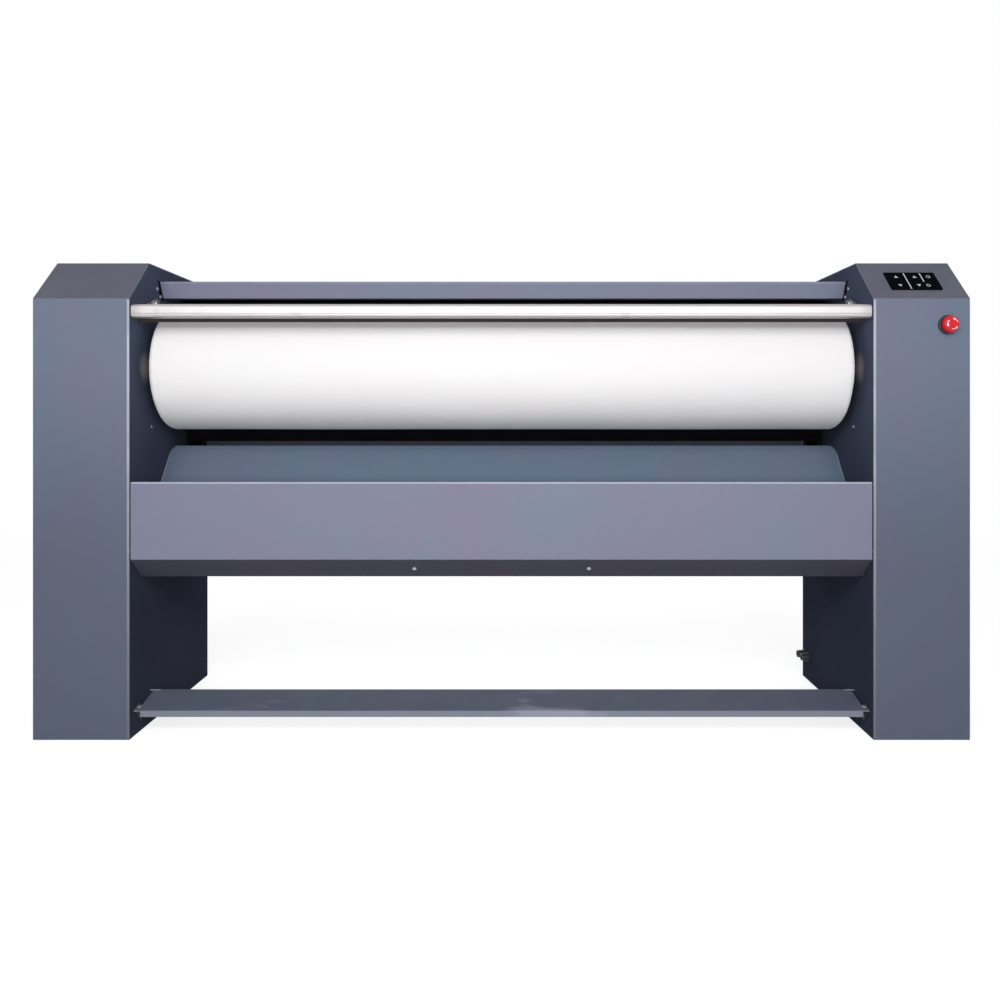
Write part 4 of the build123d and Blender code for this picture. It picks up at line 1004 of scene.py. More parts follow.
# Painted highlights along the folds of the columns, fascia, hood and apron.
COLUMN_HIGHLIGHT = PaintedHighlight(
    "column_highlight", (0.50, 0.53, 0.60), 0.45, low_z=0.0, high_z=0.95, low_share=0.36
)
FASCIA_HIGHLIGHT = PaintedHighlight("fascia_highlight", (0.50, 0.53, 0.62), 0.45, low_z=-0.1, high_z=0.5)
HOOD_HIGHLIGHT = PaintedHighlight("hood_highlight", (0.26, 0.28, 0.36), 0.45, low_z=0.0, high_z=0.9)
APRON_HIGHLIGHT = PaintedHighlight("apron_highlight", (0.28, 0.32, 0.40), 0.45, low_z=0.0, high_z=0.4)
FRAME_STEEL = Metal("frame_steel", (0.50, 0.51, 0.53), 0.38, contrast=0.1)
GUARD_STEEL = Metal(
    "guard_steel", (0.47, 0.45, 0.455), 0.44, lines=Lines.ALONG_X, contrast=0.12, smudges=0.25
)
GUARD_ARM_STEEL = Metal("guard_arm_steel", (0.42, 0.41, 0.42), 0.34, lines=Lines.ALONG_Y)
SCREW_STEEL = Metal("screw_steel", (0.80, 0.80, 0.82), 0.34, smudges=0.08)
# Darker steel for the screws' crosses: painted shade in their recesses.
RECESS_SHADE_STEEL = Metal("recess_shade_steel", (0.30, 0.30, 0.31), 0.5)
DRUM_STEEL = Metal("drum_steel", (0.42, 0.42, 0.44), 0.3, lines=Lines.TURNED, contrast=0.15)
CHAIN_STEEL = Metal("chain_steel", (0.25, 0.25, 0.26), 0.32, smudges=0.6, oil=(0.05, 0.04, 0.03))
SHOE_METAL = Metal("shoe_metal", (0.60, 0.61, 0.63), 0.22, lines=Lines.ALONG_X, contrast=0.06)
BEARING_IRON = Casting("bearing_iron", (0.12, 0.14, 0.17), 0.55)
GEARBOX_METAL = Casting("gearbox_metal", (0.45, 0.46, 0.48), 0.45, metallic=0.85)
# Black heat paint, made darker than plain black paint so that the gap under the roll stays as
# dark as its shade: partly painted shade.
HEAT_PAINT_AND_SHADE = Casting(
    "heat_paint",
    (0.006, 0.006, 0.008),
    0.75,
    grain=0.0002,
    worn=(0.015, 0.015, 0.015),
    dust=0.0,
    specular=0.05,
)
MOTOR_PAINT = Casting("motor_paint", (0.06, 0.09, 0.15), 0.35, grain=0.0002)
RED_PLASTIC = Moulding(
    "red_plastic", (0.74, 0.003, 0.02), 0.3, coat=0.25, grain=0.00003, specular=0.25
)
BLACK_PLASTIC = Moulding("black_plastic", (0.02, 0.02, 0.022), 0.45)
BOX_PLASTIC = Moulding("box_plastic", (0.45, 0.46, 0.47), 0.5, edge_radius=0.002)
KEY_FILM = Moulding("keypad_film", (0.005, 0.005, 0.008), 0.6, grain=0.00005, specular=0.0)
GUARD_RUBBER = Moulding("guard_rubber", (0.035, 0.026, 0.028), 0.7, grain=0.0002, specular=0.2)
KEY_INK = Moulding("key_ink", (0.62, 0.66, 0.72), 0.5, grain=0.00002, edge_radius=0.0001)
ARROW_INK = Moulding("arrow_ink", (0.82, 0.80, 0.80), 0.45, grain=0.00002, edge_radius=0.0001)
BOARD_GREEN = CircuitBoard("board_green", (0.02, 0.14, 0.06), 0.4)
ROLL_CLOTH = Cotton("roll_cloth", (0.95, 0.94, 0.95), 0.85)
PADDING = Fibre("padding", (0.62, 0.60, 0.55), 0.95)
INSULATION = Fibre("insulation", (0.55, 0.50, 0.38), 0.95, scale=300.0, height=0.0018)


# ---------------------------------------------------------------------------------------------
# Sub-assemblies
# ---------------------------------------------------------------------------------------------


def dress(node: str, finish: Finish) -> None:
    """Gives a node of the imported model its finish.

    Args:
        node: The node's name.
        finish: The finish for all its material slots.
    """
    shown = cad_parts[node]
    if not shown.material_slots:
        shown.data.materials.append(None)
    for place in shown.material_slots:
        place.material = finish.material()


@dataclass
class NewPiece:
    """A piece that isn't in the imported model: its surface, its finish and where it belongs."""

    name: str
    shell: Shell
    finish: Finish
    body: str
    slot: str
    replaces: tuple[str, ...] = ()
    smooth_angle: float = 35

    def put(self) -> bpy.types.Object:
        """Makes the object, dresses it and ties it to its body.

        Returns:
            The finished object.
        """
        piece = put_mesh(self.name, self.shell, self.smooth_angle)
        piece.data.materials.append(self.finish.material())
        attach(piece, self.body)
        if self.replaces:
            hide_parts(*self.replaces)
        LOG.info("%s rides on %s, %d faces", self.name, self.body, len(piece.data.polygons))
        return piece


class SubAssembly(ABC):
    """Pieces that belong together: nodes that are dressed, and new pieces."""

    @abstractmethod
    def finishes(self) -> dict[str, Finish]:
        """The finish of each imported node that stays."""

    def pieces(self) -> list[NewPiece]:
        """The new pieces, none unless the sub-assembly has some."""
        return []

    def soft(self) -> dict[str, float]:
        """How full each padded new piece is, by name."""
        return {}

    def build(self) -> None:
        for node, finish in self.finishes().items():
            dress(node, finish)
            LOG.info("%s has %s", node, finish.name)
        for piece in self.pieces():
            made = piece.put()


@dataclass
class Columns(SubAssembly):
    """The two end columns with their covers, walls, side plates, pans and feet."""

    def finishes(self) -> dict[str, Finish]:
        """Painted covers, darker inner walls, and plated steel inside."""
        return {
            "left_front_cover": COLUMN_PAINT,
            "right_front_cover": COLUMN_PAINT,
            "outer_covers": COLUMN_PAINT,
            "rear_covers": COLUMN_PAINT,
            "inner_walls": WALL_PAINT,
            "side_plates": FRAME_STEEL,
            "base_pans": FRAME_STEEL,
            "levelling_feet": FRAME_STEEL,
        }


@dataclass
class Panels(SubAssembly):
    """Hood, rear panel, belly pan, fascia, delivery apron and the beams behind them."""

    def finishes(self) -> dict[str, Finish]:
        """Paint on the panels and plated steel on the beams."""
        return {
            "hood": PANEL_PAINT,
            "rear_panel": PANEL_PAINT,
            "belly_pan": PANEL_PAINT,
            "fascia": PANEL_PAINT,
            "delivery_apron": PANEL_PAINT,
            "cross_beams": FRAME_STEEL,
        }


@dataclass
class HighlightStrips(SubAssembly):
    """Painted highlights along the folds of columns, fascia, hood and apron, and black plates of
    painted shade at the hood's ends.
    """

    proud: float = 0.00015
    sunk: float = 0.0004
    column_width: float = 0.0056
    column_low: float = 0.004
    column_high: float = 0.9995
    fascia_half: float = 0.8385
    fascia_top: float = 0.586
    hood_low: tuple[float, float] = (0.174, 1.026)
    hood_top: tuple[float, float] = (0.154, 1.066)
    hood_band: float = 0.007
    apron_top: tuple[float, float] = (0.228, 0.663)
    apron_low: tuple[float, float] = (0.052, 0.430)
    apron_corner: float = 0.024
    apron_width: float = 0.0022
    wall_gap: float = 0.0002
    hood_gap: float = 0.0005
    fold: float = 0.006
    fascia_drop: float = 0.005
    fascia_bend: float = 0.004
    hood_bend: float = 0.003
    # Black plates of painted shade at the hood's ends.
    shade_plate_width: float = 0.013
    shade_plate_run: tuple[float, float] = (-0.12, 1.02)
    shade_plate_back: float = -0.002
    shade_plate_faces: tuple[float, float] = (-0.0012, 0.0004)

    def finishes(self) -> dict[str, Finish]:
        """None: the sheets are dressed with their own sub-assemblies."""
        return {}

    def both(self, path: Array, near_x: float, far_x: float) -> Shell:
        """One strip on each side of the machine."""
        right = strip(path, near_x, far_x, self.proud, self.sunk)
        left = strip(path, -far_x, -near_x, self.proud, self.sunk)
        return joined([right, left])

    def shade_plates(self) -> Shell:
        """Black plates on the inner walls at the hood's ends: dark sheets of painted shade in the
        gap there.

        A plate follows the hood's front from just below it to its top, and is its width deep
        in front of it. A sine along it moves it forward by up to a quarter of its width. The
        grid's rows go up and its columns go forward.

        Returns:
            Both plates.
        """
        low, top = np.array(self.hood_low), np.array(self.hood_top)
        back = np.array([1.0, 0.0])
        rise = np.linspace(*self.shade_plate_run, 8)[:, None, None]
        ahead = np.linspace(self.shade_plate_back, self.shade_plate_width, 4)[None, :, None]
        plane = low + rise * (top - low) - ahead * back
        plane = plane - 0.25 * self.shade_plate_width * np.sin(rise * 6.0) * back
        shells = []
        for side in (-1.0, 1.0):
            grids = []
            for face in self.shade_plate_faces:
                flat = np.full(plane.shape[:2], side * (WALL_X + face))
                grids.append(np.stack([flat, FRONT_Y + plane[..., 0], plane[..., 1]], axis=-1))
            shells.append(slab(grids[0], grids[1]))
        return joined(shells)

    def pieces(self) -> list[NewPiece]:
        """The painted highlight lines and the black plates of painted shade."""
        column = np.array([[0.0, self.column_low], [0.0, self.column_high]])
        columns = self.both(column, WALL_X + self.wall_gap, WALL_X + self.column_width)
        inward = np.array([self.fold, 0.0])
        corner = np.array([0.0, self.fascia_top])
        drop = np.array([0.0, -self.fascia_drop])
        lip = bend(corner + drop, corner, corner + inward, self.fascia_bend)
        fascia = strip(lip[2:-1], -self.fascia_half, self.fascia_half, self.proud, self.sunk)
        low, top = np.array(self.hood_low), np.array(self.hood_top)
        down = (low - top) / np.linalg.norm(low - top)
        brow = bend(top + self.hood_band * down, top, top + inward, self.hood_bend)
        half = WALL_X - self.hood_gap
        hood = strip(brow, -half, half, self.proud, self.sunk)
        high, foot = np.array(self.apron_top), np.array(self.apron_low)
        slope = (high - foot) / np.linalg.norm(high - foot)
        sides = np.stack([foot, high - self.apron_corner / slope[1] * slope])
        apron = self.both(sides, WALL_X - self.apron_width, WALL_X - self.wall_gap)
        return [
            NewPiece("column_highlights", columns, COLUMN_HIGHLIGHT, "cabinet", "column_paint"),
            NewPiece("fascia_highlight", fascia, FASCIA_HIGHLIGHT, "cabinet", "panel_paint"),
            NewPiece("hood_highlight", hood, HOOD_HIGHLIGHT, "cabinet", "panel_paint"),
            NewPiece("apron_highlights", apron, APRON_HIGHLIGHT, "cabinet", "panel_paint"),
            NewPiece("hood_end_shade_plates", self.shade_plates(), HEAT_PAINT_AND_SHADE, "cabinet", "heat_paint"),
        ]


@dataclass
class Fasteners(SubAssembly):
    """Panel screws and bearing bolts, the screws' recesses drawn as darker crosses of painted
    shade.
    """

    head: float = 0.0025
    recess_reach: float = 0.0027
    recess_half: float = 0.0006
    proud: float = 0.00002
    sunk: float = 0.0006
    wall_places: tuple[tuple[float, float], ...] = (
        (0.140, 1.045),
        (0.158, 1.028),
        (0.110, 0.710),
    )
    outer_x: float = 1.060
    outer_depths: tuple[float, ...] = (0.024, 0.436)
    outer_heights: tuple[float, ...] = (0.048, 0.550, 0.978)
    flange_x: float = 0.200
    flange_middle: tuple[float, float] = (0.0255, 0.387)
    flange_normal: tuple[float, float] = (-0.6854, -0.7282)

    def finishes(self) -> dict[str, Finish]:
        """Zinc plated screws and bolts."""
        return {"screws_and_bolts": SCREW_STEEL}

    def crosses(self, centres: Array, normal: Array, across: Array) -> list[Shell]:
        """Crossed bars on screw heads.

        A bar's corners are centre + a * first + b * second + c * normal, where a and b are the
        bar's half sizes, and c is from just in the head to just proud of it.

        Args:
            centres: Middles of the heads' faces, one in each row.
            normal: Direction that the heads face.
            across: A direction in the faces.

        Returns:
            Two bars for each head.
        """
        second = np.cross(normal, across)
        shells = []
        for first, other in ((across, second), (second, -across)):
            a = np.array([-1.0, 1.0])[:, None, None] * self.recess_reach * first
            b = np.array([-1.0, 1.0])[None, :, None] * self.recess_half * other
            for centre in centres:
                top = centre + a + b + self.proud * normal
                shells.append(slab(top, top - (self.proud + self.sunk) * normal))
        return shells

    def pieces(self) -> list[NewPiece]:
        """The recesses of the screws on the walls, the covers and the fascia's flange."""
        shells: list[Shell] = []
        for side in (-1.0, 1.0):
            x = side * (WALL_X - self.head)
            walls = np.array([[x, FRONT_Y + depth, z] for depth, z in self.wall_places])
            inward, up = np.array([-side, 0.0, 0.0]), np.array([0.0, 0.6, 0.8])
            shells += self.crosses(walls, inward, up)
            x = side * (self.outer_x + self.head)
            covers = [
                [x, FRONT_Y + depth, z] for depth in self.outer_depths for z in self.outer_heights
            ]
            shells += self.crosses(np.array(covers), -inward, up)
        normal = np.array([0.0, *self.flange_normal])
        depth, z = self.flange_middle
        middle = np.array([0.0, FRONT_Y + depth, z]) + self.head * normal
        sides = np.array([[-self.flange_x, 0.0, 0.0], [self.flange_x, 0.0, 0.0]])
        shells += self.crosses(middle + sides, normal, np.array([1.0, 0.0, 0.0]))
        return [
            NewPiece("screw_recesses", joined(shells), RECESS_SHADE_STEEL, "cabinet", "screw_steel")
        ]


@dataclass
class PaddedRoll(SubAssembly):
    """The ironing roll: drum, felt padding, cotton cover, hubs, bearings, sprocket and chain."""

    radius: float = 0.1477
    half_length: float = 0.8176
    skin: float = 0.0036
    end_round: float = 0.011
    end_inner: float = 0.121
    end_fold: float = 0.0045
    gather: float = 0.0014
    hem_wave: float = 0.0025
    hem_reach: float = 0.026
    rim_sink: float = 0.0009
    rim_reach: float = 0.012
    skin_wave: float = 0.00018
    lap: float = 0.0004
    lap_angle: float = 1.15
    lap_width: float = 0.02
    felt_inner: float = 0.1185
    felt_outer: float = 0.1422
    felt_half: float = 0.8095
    felt_wave: float = 0.00015
    segments: int = 288
    felt_segments: int = 144

    def finishes(self) -> dict[str, Finish]:
        """Turned drum and hubs, painted bearings, oiled chain and sprocket."""
        return {
            "roll_drum": DRUM_STEEL,
            "roll_hubs": DRUM_STEEL,
            "roll_bearings": BEARING_IRON,
            "roll_sprocket": CHAIN_STEEL,
            "drive_chain": CHAIN_STEEL,
        }

    def cover_section(self) -> tuple[Array, Array, Array]:
        """The cover's cut: out along the skin, round the rim, in over the end and back inside.

        The right half goes along the outer skin to the rim's quarter circle, straight in to the
        gathered hem, round the hem, and back along the inside. The left half is its mirror.

        Returns:
            Place along the roll, radius, and how near each point is to the gathered hem.
        """
        straight = np.linspace(0, self.half_length - self.end_round, 60)
        quarter = np.linspace(0, math.pi / 2, 9)[1:]
        rim_x = self.half_length - self.end_round
        along = [straight, rim_x + self.end_round * np.sin(quarter)]
        radius = [np.full(60, self.radius)]
        radius.append(self.radius - self.end_round * (1 - np.cos(quarter)))
        along.append(np.full(11, self.half_length))
        radius.append(np.linspace(self.radius - self.end_round, self.end_inner, 12)[1:])
        hem = np.linspace(0, math.pi, 7)[1:]
        along.append(self.half_length - self.end_fold / 2 * (1 - np.cos(hem)))
        radius.append(self.end_inner - self.end_fold / 2 * np.sin(hem))
        along.append(np.full(9, self.half_length - self.end_fold))
        radius.append(np.linspace(self.end_inner, self.radius - self.skin, 10)[1:])
        along.append(np.linspace(self.half_length - self.end_fold - 0.002, 0, 24))
        radius.append(np.full(24, self.radius - self.skin))
        right_x, right_r = np.concatenate(along), np.concatenate(radius)
        x = np.concatenate([right_x, -right_x[-2:0:-1]])
        r = np.concatenate([right_r, right_r[-2:0:-1]])
        outside = np.abs(x) > self.half_length - 1.2 * self.end_round
        share = np.clip((self.radius - r) / self.hem_reach, 0.12, 1)
        return x, r, np.where(outside, share, 0)

    def cover(self) -> Shell:
        """The cotton cover, gathered over both ends.

        Gathers move the end's points inwards along the roll and the hem's points in and out
        with sines round the roll, less towards the rim, which sinks a little. The skin sinks
        with long waves by up to four times skin_wave, and by the lap's height on either side
        of a lapped seam along the back.

        Returns:
            The closed shell.
        """
        x, r, hem = self.cover_section()
        angle = np.linspace(0, TURN, self.segments, endpoint=False)[None, :]
        x, r, hem = x[:, None], r[:, None], hem[:, None]
        right = x > 0
        folds = np.where(right, ripples(angle, (37, 52, 71), 5), ripples(angle, (33, 47, 76), 8))
        along = x - np.sign(x) * hem * self.gather * (0.5 + 0.5 * folds)
        rim = np.where(right, ripples(angle, (9, 23, 58), 3), ripples(angle, (7, 19, 61), 4))
        edge = np.exp(-(self.half_length - np.abs(x)) / self.rim_reach)
        waves = self.skin_wave * (np.sin(5 * angle + 9 * x) + np.sin(3 * angle - 14 * x) - 2)
        lap = self.lap * np.exp(-(((angle - self.lap_angle) / self.lap_width) ** 2)) - self.lap
        skin = r > self.radius - self.skin - 0.0005
        radius = r + np.where(skin, waves + lap, 0.0)
        radius = radius - edge * self.rim_sink * (0.5 + 0.5 * rim)
        radius = radius + hem * self.hem_wave * rim * (hem > 0.5)
        return round_shell(turned(along, radius, angle, ROLL_MIDDLE, np.eye(3)), True)

    def felt(self) -> Shell:
        """The felt sleeve: a thick ring whose outside sinks by up to four times felt_wave.

        Returns:
            The closed shell.
        """
        half = np.linspace(-self.felt_half, self.felt_half, 60)
        x = np.concatenate([half, half[::-1]])[:, None]
        r = np.concatenate([np.full(60, self.felt_outer), np.full(60, self.felt_inner)])[:, None]
        angle = np.linspace(0, TURN, self.felt_segments, endpoint=False)[None, :]
        waves = self.felt_wave * (np.sin(7 * angle + 20 * x) + np.sin(4 * angle - 11 * x) - 2)
        radius = r + np.where(r > self.felt_inner, waves, 0.0)
        return round_shell(turned(x + 0 * angle, radius, angle, ROLL_MIDDLE, np.eye(3)), True)

    def pieces(self) -> list[NewPiece]:
        """The cover and the felt, in place of their plain solids."""
        return [
            NewPiece(
                "roll_cover", self.cover(), ROLL_CLOTH, "roll", "roll_cloth", ("roll_cloth",), 60
            ),
            NewPiece("roll_felt", self.felt(), PADDING, "roll", "padding", ("roll_padding",), 60),
        ]

    def soft(self) -> dict[str, float]:
        """A tight cover over firm felt."""
        return {"roll_cover": 0.9, "roll_felt": 0.8}


@dataclass
class HeatedShoe(SubAssembly):
    """The heated shoe behind the roll, its lagging, cover, arms, shaft, levers and pull rods."""

    lagging_inner: float = 0.1778
    lagging_outer: float = 0.2052
    low_angle: float = -59.8
    high_angle: float = 71.8
    half_length: float = 0.8198
    pivot: tuple[float, float] = (FRONT_Y + 0.300, 0.560)
    open_angle: float = 4.0
    quilt: float = 0.0003

    def finishes(self) -> dict[str, Finish]:
        """Machined shoe, plated steel work, turned shafts and pins."""
        return {
            "shoe": SHOE_METAL,
            "heaters": DRUM_STEEL,
            # Near-black heat paint, darkened as painted shade for the gap under the roll.
            "shoe_cover": HEAT_PAINT_AND_SHADE,
            "shoe_arms": HEAT_PAINT_AND_SHADE,
            "shoe_shaft": DRUM_STEEL,
            "shoe_levers": FRAME_STEEL,
            "shoe_bushes": DRUM_STEEL,
            "pivot_pins": DRUM_STEEL,
            "pull_rods": FRAME_STEEL,
        }

    def lagging(self) -> Shell:
        """The lagging blanket: a bent slab about the roll's axis, turned open with the shoe.

        A point is at an angle and a radius from the roll's axis, and is then turned about the
        shoe's pivot by the open angle. The faces sink in a quilted pattern by up to twice the
        quilt's height.

        Returns:
            The closed shell.
        """
        angle = np.radians(np.linspace(self.low_angle, self.high_angle, 60))[:, None]
        x = np.linspace(-self.half_length, self.half_length, 140)[None, :]
        quilt = self.quilt * (np.cos(40 * angle) * np.cos(70 * x) - 1)
        turn = math.radians(self.open_angle)
        grids = []
        for radius in (self.lagging_outer + quilt, self.lagging_inner - quilt):
            y = ROLL_Y + radius * np.cos(angle) - self.pivot[0]
            z = ROLL_Z + radius * np.sin(angle) - self.pivot[1]
            opened_y = self.pivot[0] + y * math.cos(turn) + z * math.sin(turn)
            opened_z = self.pivot[1] - y * math.sin(turn) + z * math.cos(turn)
            grids.append(np.stack([x + 0 * opened_y, opened_y, opened_z], axis=-1))
        return slab(grids[0], grids[1])

    def pieces(self) -> list[NewPiece]:
        """The lagging, in place of its plain solid."""
        at, replaced = ("shoe", "insulation"), ("shoe_insulation",)
        return [NewPiece("shoe_lagging", self.lagging(), INSULATION, *at, replaced)]

    def soft(self) -> dict[str, float]:
        """A firm blanket."""
        return {"shoe_lagging": 0.8}


@dataclass
class Treadle(SubAssembly):
    """The foot treadle, its arms, return springs and switch."""

    def finishes(self) -> dict[str, Finish]:
        """Worn paint on the plate, plated arms, spring steel and a black switch."""
        return {
            "treadle_plate": TREADLE_PAINT,
            "treadle_arms": FRAME_STEEL,
            "left_spring": CHAIN_STEEL,
            "right_spring": CHAIN_STEEL,
            "treadle_switch": BLACK_PLASTIC,
        }


@dataclass
class FingerGuard(SubAssembly):
    """The polished bar in front of the roll, its arms and pins."""

    half_length: float = 0.839
    width: float = 0.030
    height: float = 0.032
    corner: float = 0.009
    middle_depth: float = 0.015
    middle_z: float = 0.974
    end_round: float = 0.0008
    groove_z: float = -0.0062
    groove_half: float = 0.0011
    groove_depth: float = 0.0009
    lip_middle: tuple[float, float] = (0.0262, 0.9560)
    lip_width: float = 0.0034
    lip_height: float = 0.0100
    lip_half: float = 0.833

    def finishes(self) -> dict[str, Finish]:
        """Polished arms and plated pins."""
        return {"guard_arms": GUARD_ARM_STEEL, "guard_pins": SCREW_STEEL}

    def outline(self) -> Array:
        """The bar's cut: a rounded rectangle with a rolled groove low on its front face.

        The front face between its corners is cut into steps, and each sinks by the groove's
        depth times a cosine bell round the groove's height.

        Returns:
            One row of depth and height from the bar's middle per point.
        """
        round_part = rounded_outline(self.width, self.height, self.corner, 10)
        face_z = np.linspace(self.height / 2 - self.corner, self.corner - self.height / 2, 42)
        face = np.stack([np.full(40, -self.width / 2), face_z[1:-1]], axis=-1)
        points = np.concatenate([round_part[:20], face, round_part[20:]])
        away = np.clip(np.abs(points[:, 1] - self.groove_z) / self.groove_half, 0, 1)
        bell = 0.5 + 0.5 * np.cos(math.pi * away)
        front = points[:, 0] < -self.width / 2 + 1e-6
        points[:, 0] += np.where(front, self.groove_depth * bell, 0.0)
        return points

    def bar(self) -> Shell:
        """The bar: its cut carried along X, drawn in by the end rounding at both ends.

        Returns:
            The closed shell.
        """
        outline = self.outline()
        quarter = np.linspace(0, math.pi / 2, 4)
        end = self.half_length - self.end_round * (1 - np.cos(quarter))
        middle = np.linspace(-end[-1], end[-1], 60)[1:-1]
        x = np.concatenate([-end, middle, end[::-1]])
        inset = self.end_round * (1 - np.sin(quarter))
        inset = np.concatenate([inset, np.zeros(len(middle)), inset[::-1]])
        scale = 1 - 2 * inset / self.width
        depth = FRONT_Y + self.middle_depth + outline[None, :, 0] * scale[:, None]
        z = self.middle_z + outline[None, :, 1] * scale[:, None]
        return lofted(np.stack([x[:, None] + 0 * z, depth, z], axis=-1))

    def lip(self) -> Shell:
        """The rubber strip under the bar: a rounded cut carried along X, its top in the bar.

        Returns:
            The closed shell.
        """
        depth, z = self.lip_middle
        cut = rounded_outline(self.lip_width, self.lip_height, self.lip_width * 0.4, 5)
        x = np.linspace(-self.lip_half, self.lip_half, 40)[:, None]
        y = FRONT_Y + depth + cut[None, :, 0] + 0 * x
        return lofted(np.stack([x + 0 * y, y, z + cut[None, :, 1] + 0 * x], axis=-1))

    def pieces(self) -> list[NewPiece]:
        """The bar, in place of its plain tube, and the rubber strip under it."""
        return [
            NewPiece(
                "guard_rail", self.bar(), GUARD_STEEL, "guard", "guard_steel", ("guard_bar",), 40
            ),
            NewPiece("guard_lip", self.lip(), GUARD_RUBBER, "guard", "black_plastic"),
        ]


@dataclass
class StopButton(SubAssembly):
    """The emergency stop: collar, stem, mushroom head with turning arrows, contact block."""

    x: float = 1.0095
    z: float = 0.942
    ridge_count: int = 20
    ridge: float = 0.0003
    rim_radius: float = 0.0175
    rim_run: float = 0.0015
    arrow_radius: float = 0.0115
    arrow_half: float = 0.0009
    arrow_turn: float = 78.0
    arrow_start: float = 0.3
    arrow_shaft: float = 0.621
    ink: float = 0.00008
    sunk: float = 0.0005
    profile: tuple[tuple[float, float], ...] = (
        (0.0120, 0.0),
        (0.0120, 0.0176),
        (0.0122, 0.0190),
        (0.0130, 0.0198),
        (0.0142, 0.0200),
        (0.0158, 0.0197),
        (0.0178, 0.0188),
        (0.0198, 0.0173),
        (0.0216, 0.0152),
        (0.0229, 0.0126),
        (0.0236, 0.0100),
        (0.0239, 0.0070),
        (0.0239, 0.0035),
        (0.0239, 0.0),
    )

    def finishes(self) -> dict[str, Finish]:
        """Black plastic behind the head."""
        return {
            "estop_collar": BLACK_PLASTIC,
            "estop_stem": BLACK_PLASTIC,
            "contact_block": BLACK_PLASTIC,
        }

    def axes(self) -> tuple[Array, Array]:
        """The button's origin on the cover, and its axis with two directions across it."""
        origin = np.array([self.x, FRONT_Y, self.z])
        return origin, np.array([[0.0, -1.0, 0.0], [1.0, 0.0, 0.0], [0.0, 0.0, 1.0]])

    def head(self) -> Shell:
        """The head: its profile turned about the axis, with shallow ridges round the rim.

        The profile is sampled finely between its points and smoothed, and the radius near the
        rim loses the ridge height times a raised cosine of the angle.

        Returns:
            The closed shell.
        """
        profile = np.array(self.profile)
        step = np.concatenate([[0], np.cumsum(np.hypot(*np.diff(profile, axis=0).T))])
        fine = np.linspace(0, step[-1], 72)
        along = np.interp(fine, step, profile[:, 0])
        radius = np.interp(fine, step, profile[:, 1])
        for _ in range(3):
            for line in (along, radius):
                line[1:-1] = (line[:-2] + 2 * line[1:-1] + line[2:]) / 4
        angle = np.linspace(0, TURN, 160, endpoint=False)[None, :]
        rim = np.clip((radius - self.rim_radius) / self.rim_run, 0, 1)[:, None]
        wave = 0.5 - 0.5 * np.cos(self.ridge_count * angle)
        ridged = radius[:, None] - self.ridge * rim * wave
        return round_shell(turned(along[:, None], ridged, angle, *self.axes()), False)

    def arrows(self) -> Shell:
        """Three turning arrows on the head's face.

        An arrow is a band at one radius. Its half width is even along the shaft, three times as
        wide where the point starts, and goes to nothing at the tip.

        Returns:
            One shell with the three arrows.
        """
        shaft = self.arrow_shaft
        steps = [np.linspace(0, shaft - 0.001, 16), [shaft], np.linspace(0.63, 1, 8)]
        share = np.concatenate(steps)
        half = np.where(share < shaft - 0.0005, 1.0, 3.0 * (1 - share) / (1 - shaft))
        width = np.array([-1.0, 0.0, 1.0])[None, :]
        profile = np.array(self.profile)[9:]
        shells = []
        for number in range(3):
            start = number * TURN / 3
            angle = math.radians(self.arrow_turn) * share[:, None] + start + self.arrow_start
            radius = self.arrow_radius + self.arrow_half * half[:, None] * width
            top = np.interp(radius, profile[::-1, 1], profile[::-1, 0])
            angle = angle + 0 * radius
            faces = [
                turned(top + height, radius, angle, *self.axes())
                for height in (self.ink, -self.sunk)
            ]
            shells.append(slab(*faces))
        return joined(shells)

    def pieces(self) -> list[NewPiece]:
        """The head in place of its plain solid, and its arrows."""
        at = ("stop_head", "red_plastic")
        return [
            NewPiece("stop_cap", self.head(), RED_PLASTIC, *at, ("estop_head",), 50),
            NewPiece("stop_arrows", self.arrows(), ARROW_INK, *at),
        ]


class Mark(Enum):
    """The generic signs on the keys."""

    UP = "up"
    DOWN = "down"
    RING = "ring"


